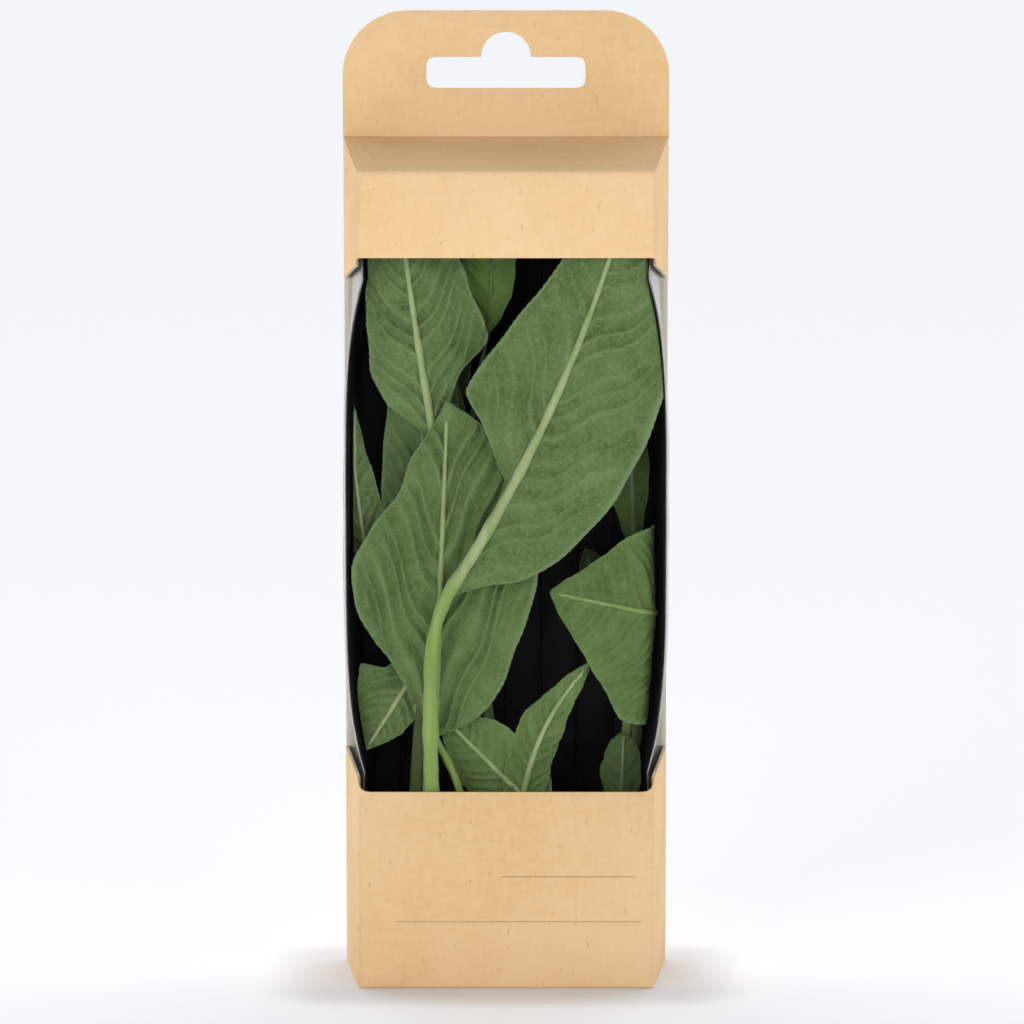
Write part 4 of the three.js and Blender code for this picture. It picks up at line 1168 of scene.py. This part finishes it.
def stem_route(places, thick):
    route, share = smooth_route(lead_in(places), STEM_STEP)
    radius = thick * (1 - 0.25 * share)
    return kept_inside(route, radius), radius, np.zeros(len(route)), 0


# The name, stem radius, stem places (x, z, y) and leaves of each sprig
SPRIGS = (
    ("sprig_front", 1.5, ((-12.6, STEM_FOOT_Z, -10.2), (-13.6, 14, -10.2), (-14.4, 27, -10.2)), (
        Leaf(base=(-12, 78.6), tip=(24.5, 160), bend=-3.6, y=-10.9, arch=1.1, wave=0.3,
             left=((0.265, 0.4), (0.32, 5), (0.375, 10), (0.44, 16.6), (0.5, 16), (0.625, 13.6),
                   (0.75, 10), (0.875, 6)),
             right=((0.06, 4.4), (0.125, 11.4), (0.25, 17.2), (0.375, 19.6), (0.5, 20),
                    (0.625, 19.6), (0.75, 17), (0.875, 11)), fine=True, rib=1.75,
             lean=(1.9, 0.95), pleat=1.3, young=0.1,
             route=((-14.3, 24, -10.2), (-14.8, 36, -10.3), (-15, 52, -10.4),
                    (-14.9, 64, -10.4), (-13.8, 73, -10.6))),
        smooth_leaf((-9.6, 26), (5, 35), 4, 4, -10.3, ((-14, 21, -10.2), (-12, 24, -10.2))),
        smooth_leaf((-17.4, 21), (-27.5, 31), 3.6, 3.6, -10.3,
                    ((-13.6, 16, -10.2), (-15.6, 18.6, -10.2))),
    )),
    ("sprig_middle", 1.35, ((-6.6, STEM_FOOT_Z, -7.2), (-7.4, 14, -7.2), (-8, 27, -7.2)), (
        Leaf(base=(-14.2, 50), tip=(-11.6, 117.4), y=-7.5, arch=0.7, wave=0.3,
             left=((0.1, 4), (0.22, 9.4), (0.28, 13), (0.4, 17.2), (0.49, 17.6), (0.62, 14),
                   (0.74, 8.6), (0.83, 6.6), (0.92, 2.8)),
             right=((0.03, 5), (0.1, 10.7), (0.25, 15.1), (0.48, 19), (0.62, 18), (0.78, 14.5),
                    (0.92, 8)), fine=True, rib=0.85, lean=(2.2, 2.6), pleat=2.3, pale_rib=0.8,
             young=0.2, shaded=0.06,
             route=((-8, 24, -7.2), (-8.2, 33, -7.2), (-9.4, 39.5, -7.2), (-11.6, 45, -7.2))),
        smooth_leaf((-3.4, 24.5), (10, 34), 4.2, 4.2, -7.3, ((-7.7, 19, -7.2), (-5.4, 22, -7.2))),
        smooth_leaf((-12, 22), (-26, 32), 4, 4, -7.3, ((-7.3, 16, -7.2), (-9.8, 19, -7.2))),
    )),
    ("sprig_left", 1.5, ((-19.6, STEM_FOOT_Z, -3.1), (-18.6, 26, -3.1), (-17.4, 48, -3.1),
                         (-15.8, 64, -3.1), (-15.2, 84, -3.1)), (
        Leaf(base=(-14, 108.6), tip=(-21.6, 162), bend=0.6, y=-4.5, arch=0.8, wave=0.3,
             left=((0.09, 4.1), (0.19, 8.3), (0.31, 10.3), (0.47, 9.5), (0.7, 8.1), (0.88, 5)),
             right=((0.12, 3.6), (0.24, 7.3), (0.365, 14.2), (0.52, 12), (0.66, 10.6),
                    (0.85, 7)), fine=True, rib=1.1, lean=(1.3, 1.3), pleat=1.7, young=0.05,
             route=((-15.2, 80, -3.1), (-15.1, 90, -3.2), (-14.4, 101, -3.7))),
        smooth_leaf((-16.4, 70), (-16.6, 136), 8.2, 8.5, -2.2,
                    ((-15.7, 62, -3.1), (-16, 66, -2.7)), arch=0.3, wave=0.2, rib=0.6,
                    shaded=0.4),
        Leaf(base=(-15.4, 66.8), tip=(-28.2, 46.7), y=-3, arch=0.4, wave=0.3, fine=True,
             left=((0.2, 3.6), (0.48, 5.3), (0.77, 3.8)),
             right=((0.2, 4), (0.32, 5.6), (0.41, 10), (0.68, 6.8), (0.85, 4.6)),
             route=((-15.9, 71, -3.1), (-15.7, 69, -3))),
        Leaf(base=(-23, 68), tip=(-30.8, 118), bend=2, left=(3,), right=(5.2, 0.5, 1), y=-1.6,
             arch=0.2, wave=0.1, fine=True, rib=0.5, young=0,
             route=((-17, 52, -3.1), (-19.6, 60, -2.3))),
    )),
    ("sprig_right", 1.3, ((20.4, STEM_FOOT_Z, 2.2), (21.6, 22, 2.2), (23.4, 42, 2.2),
                          (25.6, 60, 2.2)), (
        Leaf(base=(37.4, 72.9), tip=(8.8, 78.9), y=-4.6, arch=0.3, wave=0.25, turns_back=True,
             left=((0, 10), (0.12, 22.4), (0.33, 22.7), (0.48, 17.7), (0.66, 12), (0.85, 6)),
             right=((0, 9), (0.15, 16), (0.32, 17.4), (0.475, 15.7), (0.71, 9.1), (0.85, 4.8)),
             fine=True, rib=0.7, lean=(0.7, 0.7), pale_rib=0.25, young=0.5, shaded=0.08,
             route=((25.2, 57, 2.2), (27, 64, 3.2), (28.8, 70, 4.2))),
        smooth_leaf((23.2, 34), (23.6, 50), 4.4, 4.2, -1, ((21.7, 24, 2.2), (22.8, 29, 0.6)),
                    arch=0.5, rib=0.7, shaded=0.62, young=0.4),
        smooth_leaf((17.4, 21), (5, 30), 3.8, 3.8, -1.2, ((21.1, 14, 2.2), (19.4, 18, 0.6))),
    )),
    ("sprig_small", 1.2, ((12.4, STEM_FOOT_Z, -4.4), (11, 14, -4.4), (8.2, 30, -4.4)), (
        Leaf(base=(7.4, 33.4), tip=(-12.8, 53.8), y=-3.9, arch=0.5, fine=True, rib=0.85,
             left=((0.2, 6), (0.51, 7.2), (0.81, 4.4)),
             right=((0.1, 5.5), (0.21, 7), (0.62, 7.5), (0.81, 5.5), (0.93, 2.6)), young=0.35,
             route=((8.8, 27, -4.4), (8.1, 31, -4.2))),
        Leaf(base=(3, 34.3), tip=(17, 64.2), bend=2.9, y=-3.7, arch=0.4, lift=2.4, fine=True,
             left=((0.15, 4.5), (0.5, 5), (0.75, 2.9), (0.9, 1.5)),
             right=((0.2, 4.4), (0.5, 3.8), (0.75, 2.7), (0.9, 1.5)), rib=0.8, young=0.35,
             route=((8.8, 27, -4.4), (6, 31, -4.6))),
        smooth_leaf((14.6, 20), (17.6, 34), 2.8, 2.8, -4.4, ((10.8, 14, -4.4), (13, 17, -4.4))),
    )),
    ("sprig_back", 1.4, ((-0.6, STEM_FOOT_Z, 2), (-1.6, 36, 2), (-4.4, 58, 2), (-6.2, 84, 2),
                         (-7.2, 112, 2)), (
        smooth_leaf((-3.8, 130), (-1.4, 160), 6.4, 4.8, 0.9, ((-7.1, 108, 2), (-6, 118, 1.8)),
                    arch=0.5, rib=0.5, pale_rib=0.1, young=1),
        smooth_leaf((-1, 84), (19, 140), 7, 9, 2, ((-5.6, 70, 2), (-3.4, 77, 2)), bend=-1.5,
                    arch=0.5, rib=0.9, shaded=0.5),
        smooth_leaf((-9.4, 70), (-18, 112), 8, 7, 2.6, ((-5, 62, 2), (-7, 66, 2.2)), arch=0.4,
                    shaded=0.3),
        smooth_leaf((-10.6, 122), (-17, 158), 6.6, 6, 2.2, ((-7.1, 108, 2), (-8.8, 115, 2)),
                    arch=0.5, shaded=0.3),
        smooth_leaf((3.6, 22), (14.6, 31), 4, 4, 2.1, ((-1, 15, 2), (1.4, 18.6, 2))),
        smooth_leaf((-6, 20), (-20, 29), 4, 4, 2.1, ((-1, 14, 2), (-3.4, 17, 2))),
    )),
    ("sprig_back_right", 1.3, ((22.4, 4.8, 7.4), (24.6, 26, 7.4), (26.4, 44, 7.4),
                               (26.6, 66, 7.4)), (
        smooth_leaf((26, 86), (23.4, 130), 5, 3.8, 6.3, ((26.7, 63, 7.4), (26.8, 74, 7.2)),
                    arch=0.5, young=0.6),
        smooth_leaf((22.6, 62), (16, 86), 4, 6, 7.9, ((26.2, 50, 7.4), (24.6, 56, 7.6)),
                    arch=0.3, shaded=0.6),
        smooth_leaf((20.4, 20), (9, 30), 4, 4, 7.2, ((23.6, 13, 7.4), (22, 17, 7.4))),
    )),
    ("sprig_back_left", 1.4, ((-17, 4.8, 7.2), (-17.4, 30, 7.2), (-17.2, 58, 7.2),
                              (-14.4, 78, 7.2), (-11, 104, 7.2)), (
        smooth_leaf((-20.6, 62), (-25.4, 88), 5.4, 6, 6.6, ((-17.2, 52, 7.2), (-18.8, 57, 7)),
                    arch=0.4, shaded=0.4),
        smooth_leaf((-9.6, 84), (3, 124), 8, 7, 6.4, ((-14.8, 74, 7.2), (-12.4, 79, 7)),
                    arch=0.5, shaded=0.5),
        smooth_leaf((-11.4, 112), (-14, 154), 8, 6, 6.8, ((-11.4, 100, 7.2), (-11.2, 106, 7)),
                    arch=0.5, shaded=0.5),
        smooth_leaf((-13.4, 25), (-2, 34), 4.4, 4.4, 7.1, ((-17.4, 19, 7.2), (-15.4, 22, 7.2))),
        smooth_leaf((-21, 22), (-26.4, 34), 3.6, 2.4, 7.1,
                    ((-17.2, 14, 7.2), (-19.2, 18.4, 7.2))),
    )),
)


# The least painted shade laid over a sprig's stem or leaf stalks, from 0 to 1
PAINTED_STALK_SHADE = {
    ("sprig_middle", "stem"): 0.75,
    ("sprig_left", "stem"): 0.8,
    ("sprig_right", "stem"): 0.6,
    ("sprig_right", "leaf_stalks"): 0.15,
    ("sprig_small", "stem"): 0.5,
    ("sprig_back", "stem"): 0.75,
    ("sprig_back", "leaf_stalks"): 0.6,
    ("sprig_back_right", "stem"): 0.45,
    ("sprig_back_right", "leaf_stalks"): 0.3,
    ("sprig_back_left", "stem"): 0.8,
    ("sprig_back_left", "leaf_stalks"): 0.8,
}


def make_sprigs(settings):
    """Every sprig: its blades, and its stems and leaf stalks."""
    blades = sage_leaf(settings)
    stalks = sage_stalk(settings)
    tree, sockets = stalk_tree()
    for number, (name, thick, stem, leaves) in enumerate(SPRIGS):
        for i, leaf in enumerate(leaves):
            make_blade(f"{name}_leaf_{i + 1}", name, leaf, settings, blades,
                       seed=number * 7 + i)
        forms = {
            "stem": ([stem_route(stem, thick)], 0.42),
            "leaf_stalks": ([leaf_stalk_route(leaf) for leaf in leaves], 0.85),
        }
        for part, (routes, corner) in forms.items():
            values = {
                "Corner Radius": corner,
                "Hair Length": settings.hair_length,
                "Hair Density": settings.hair_density * 1e6,
                "Seed": number + 1,
                "Material": stalks,
            }
            base = path_mesh(f"{name}_{part}", routes, PAINTED_STALK_SHADE.get((name, part), 0))
            piece = grown(f"{name}_{part}", tree, sockets, values, base)
            seat(piece, name)


# Studio


def area_light(name, place, power):
    light = bpy.data.lights.new(name, "AREA")
    light.shape = "RECTANGLE"
    light.size, light.size_y = LAMP_SIZE
    light.energy = power
    lamp = bpy.data.objects.new(name, light)
    lamp.location = place
    lamp.rotation_euler = (LAMP_AIM - Vector(place)).to_track_quat("-Z", "Y").to_euler()
    lamp.visible_camera = False
    bpy.context.scene.collection.objects.link(lamp)


def make_studio(settings):
    """A wide pale floor that glows less next to the pack, which paints a contact shadow there,
    soft lights from the front, a surround that is brightest behind, and the camera."""
    scene = bpy.context.scene
    scene.view_settings.view_transform = "Standard"
    world = bpy.data.worlds.new("white_surround")
    world.use_nodes = True
    nodes = Nodes(world.node_tree)
    _, backwards, height = nodes.axes(nodes.add("ShaderNodeTexCoord", output="Generated"))
    behind = backwards.over(0, 0.45) * height.over(0.15, 0.5)
    around = settings.surround + behind * (settings.surround_back - settings.surround)
    around = around * (1 - height.over(0.6, 0.85) * 0.85)
    seen = nodes.add("ShaderNodeLightPath", output="Is Camera Ray")
    backdrop = nodes.add("ShaderNodeBackground", {}, {
        "Color": (1, 1, 1, 1), "Strength": around * (1 - seen) + seen})
    nodes.add("ShaderNodeOutputWorld", {}, {"Surface": backdrop})
    scene.world = world

    material, nodes = new_material("pale_floor")
    across, depth, _ = nodes.axes(nodes.place())
    # The floor's glow is dimmed next to the pack's foot: a painted contact shadow
    aside = (across.math("ABSOLUTE") - PAINTED_SHADOW_HALF_WIDTH).math("MAXIMUM", 0)
    ahead = (depth.math("ABSOLUTE") - PAINTED_SHADOW_HALF_DEPTH).math("MAXIMUM", 0)
    beyond_painted_shadow = (aside ** 2 + ahead ** 2).over(-0.0001, 0.0003)
    nodes.solid_surface((*settings.floor, 1), 0.9, 0.1, {
        "Emission Color": nodes.mix(beyond_painted_shadow, (0, 0, 0), (1, 1, 1)),
        "Emission Strength": settings.floor_glow,
    })
    half = FLOOR_HALF
    corners = [(-half, -half, 0), (half, -half, 0), (half, half, 0), (-half, half, 0)]
    floor = new_piece("floor", corners, [(0, 1, 2, 3)], material, smooth=False)

    area_light("front_left", (-0.85, -1.3, 0.5), settings.light * 1.15)
    area_light("front_right", (0.95, -1.25, 0.35), settings.light * 0.85)

    camera = bpy.data.cameras.new("photo_view")
    camera.lens = VIEW_LENS
    camera.sensor_width = VIEW_SENSOR
    camera.clip_start = 0.01
    viewer = bpy.data.objects.new("photo_view", camera)
    back = Vector((0, -math.cos(VIEW_ELEVATION), math.sin(VIEW_ELEVATION)))
    viewer.location = VIEW_TARGET + back * VIEW_DISTANCE
    viewer.rotation_euler = (-back).to_track_quat("-Z", "Y").to_euler()
    scene.collection.objects.link(viewer)
    scene.camera = viewer


# Add-on


def colour(name, description, value):
    return bpy.props.FloatVectorProperty(
        name=name, description=description, subtype="COLOR", size=3, min=0, max=1,
        default=value)


def length(name, description, value):
    return bpy.props.FloatProperty(
        name=name, description=description, default=value, min=0, subtype="DISTANCE",
        unit="LENGTH", precision=5)


def number(name, description, value, most, least=0):
    return bpy.props.FloatProperty(
        name=name, description=description, default=value, min=least, max=most)


class CartonSettings(bpy.types.PropertyGroup):
    colour: colour("Board", "Main colour of the kraft board", (0.89, 0.61, 0.33))
    shade: colour("Shade", "Darker patches of the board", (0.83, 0.54, 0.265))
    light: colour("Light fibres", "Pale fibres in the board", (0.94, 0.71, 0.45))
    fleck: colour("Flecks", "Dark flecks in the board", (0.36, 0.19, 0.075))
    cut_edge: colour("Cut edge", "Where the board is cut through", (0.5, 0.32, 0.16))
    inner: colour("Inner face", "The board's pale inner face", (0.86, 0.78, 0.66))
    inner_shade: colour("Inner shade", "Darker patches of the inner face", (0.8, 0.7, 0.56))
    ruled_line: colour("Ruled lines", "Two thin lines on the front", (0.3, 0.16, 0.07))
    edge: length("Edge softness", "How far the board's cut edges are eased", 0.00009)
    groove: length("Groove", "Depth of the lines where board meets board", 0.00022)


class FilmSettings(bpy.types.PropertyGroup):
    thickness: length("Thickness", "Thickness of the film", 0.00008)
    wrinkle: length("Wrinkles", "Depth of the wrinkles in the film", 0.0002)
    glance: number("Index", "Refractive index that sets the shine from the front", 1.08, 2, 1)
    shine: number("Shine", "How strongly the film shines at its sides", 0.5, 1)


class TraySettings(bpy.types.PropertyGroup):
    colour: colour("Plastic", "Colour of the tray", (0.002, 0.002, 0.0032))
    bloom: colour("Bloom", "Its slightly duller patches", (0.0035, 0.0035, 0.0052))
    rib_spacing: length("Rib spacing", "Distance between the floor's ribs", 0.0072)
    rib_radius: length("Rib radius", "Radius of the ribs", 0.0004)


class SageSettings(bpy.types.PropertyGroup):
    under: colour("Underside", "Felted underside of a leaf", (0.118, 0.188, 0.057))
    under_shade: colour("Underside shade", "Darker patches", (0.062, 0.112, 0.026))
    under_light: colour("Underside light", "Pale grains of the felt", (0.152, 0.23, 0.084))
    vein: colour("Veins", "Raised veins of the underside", (0.2, 0.285, 0.115))
    rim: colour("Rim", "The pale margin of a leaf", (0.22, 0.3, 0.15))
    upper: colour("Upper side", "Greener upper side of a leaf", (0.085, 0.16, 0.05))
    upper_shade: colour("Upper shade", "Its darker hollows", (0.05, 0.11, 0.03))
    young: colour("Young leaf", "Yellow-green of young leaves", (0.115, 0.215, 0.03))
    # deep is painted shade, laid over leaves and stalks that lie in shade deep in the pack
    deep: colour("Deep leaf", "Leaves deep in the pack", (0.03, 0.055, 0.02))
    spot: colour("Spots", "Small brown marks", (0.13, 0.1, 0.045))
    down: colour("Down", "Pale downy hairs", (0.33, 0.39, 0.26))
    stem: colour("Stem", "Stems and leaf stalks", (0.31, 0.43, 0.125))
    stem_shade: colour("Stem shade", "Darker streaks of the stem", (0.22, 0.34, 0.07))
    rib: colour("Midrib", "Pale midribs", (0.4, 0.49, 0.24))
    rib_shade: colour("Midrib shade", "Darker streaks of a midrib", (0.28, 0.37, 0.15))
    blade: length("Blade", "Thickness of a leaf blade", 0.00045)
    tooth: length("Teeth", "Height of the margin's small round teeth", 0.00018)
    mesh_pitch: length("Mesh pitch", "Distance between a fine blade's points", 0.0003)
    hair_length: length("Hair length", "Length of the stalks' hairs", 0.00038)
    hair_density: number("Hair density", "Hairs on a square millimetre of stalk", 1.4, 10)


class StudioSettings(bpy.types.PropertyGroup):
    surround: number("Surround", "Light from all round", 0.45, 2)
    surround_back: number("Surround behind", "Light from behind the pack", 2.65, 4)
    light: number("Lamps", "Power of the front lamps in watts", 5.1, 100)
    floor: colour("Floor", "Colour of the floor", (0.88, 0.91, 0.97))
    floor_glow: number("Floor glow", "Light given off by the floor", 0.26, 1)


class MakeCarton(bpy.types.Operator):
    """Makes the kraft carton"""
    bl_idname = "sage_pack.make_carton"
    bl_label = "Kraft carton"

    def execute(self, context):
        make_carton(context.scene.sage_pack_carton)
        return {"FINISHED"}


class MakeFilm(bpy.types.Operator):
    """Makes the clear window film"""
    bl_idname = "sage_pack.make_film"
    bl_label = "Window film"

    def execute(self, context):
        make_film(context.scene.sage_pack_film)
        return {"FINISHED"}


class MakeTray(bpy.types.Operator):
    """Makes the black tray and its ribs"""
    bl_idname = "sage_pack.make_tray"
    bl_label = "Black tray"

    def execute(self, context):
        make_tray(context.scene.sage_pack_tray)
        return {"FINISHED"}


class MakeSprigs(bpy.types.Operator):
    """Makes the sage sprigs"""
    bl_idname = "sage_pack.make_sprigs"
    bl_label = "Sage sprigs"

    def execute(self, context):
        make_sprigs(context.scene.sage_pack_sage)
        return {"FINISHED"}


class MakeStudio(bpy.types.Operator):
    """Makes the floor, the lights and the camera"""
    bl_idname = "sage_pack.make_studio"
    bl_label = "Studio"

    def execute(self, context):
        make_studio(context.scene.sage_pack_studio)
        return {"FINISHED"}


SETTINGS = {
    "sage_pack_carton": CartonSettings,
    "sage_pack_film": FilmSettings,
    "sage_pack_tray": TraySettings,
    "sage_pack_sage": SageSettings,
    "sage_pack_studio": StudioSettings,
}
OPERATORS = (MakeCarton, MakeFilm, MakeTray, MakeSprigs, MakeStudio)


class SagePackPanel(bpy.types.Panel):
    """Sizes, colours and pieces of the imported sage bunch"""
    bl_idname = "VIEW3D_PT_sage_pack"
    bl_label = "Packed sage bunch"
    bl_space_type = "VIEW_3D"
    bl_region_type = "UI"
    bl_category = "Sage pack"

    def draw(self, context):
        for operator, (attribute, group) in zip(OPERATORS, SETTINGS.items()):
            box = self.layout.box()
            box.operator(operator.bl_idname)
            for name in group.__annotations__:
                box.prop(getattr(context.scene, attribute), name)


def register():
    for attribute, group in SETTINGS.items():
        bpy.utils.register_class(group)
        setattr(bpy.types.Scene, attribute, bpy.props.PointerProperty(type=group))
    for item in (*OPERATORS, SagePackPanel):
        bpy.utils.register_class(item)


def unregister():
    for item in (SagePackPanel, *reversed(OPERATORS)):
        bpy.utils.unregister_class(item)
    for attribute, group in reversed(SETTINGS.items()):
        delattr(bpy.types.Scene, attribute)
        bpy.utils.unregister_class(group)


def main():
    register()
    bpy.ops.sage_pack.make_carton()
    bpy.ops.sage_pack.make_film()
    bpy.ops.sage_pack.make_tray()
    bpy.ops.sage_pack.make_sprigs()
    bpy.ops.sage_pack.make_studio()


if __name__ == "__main__":
    main()
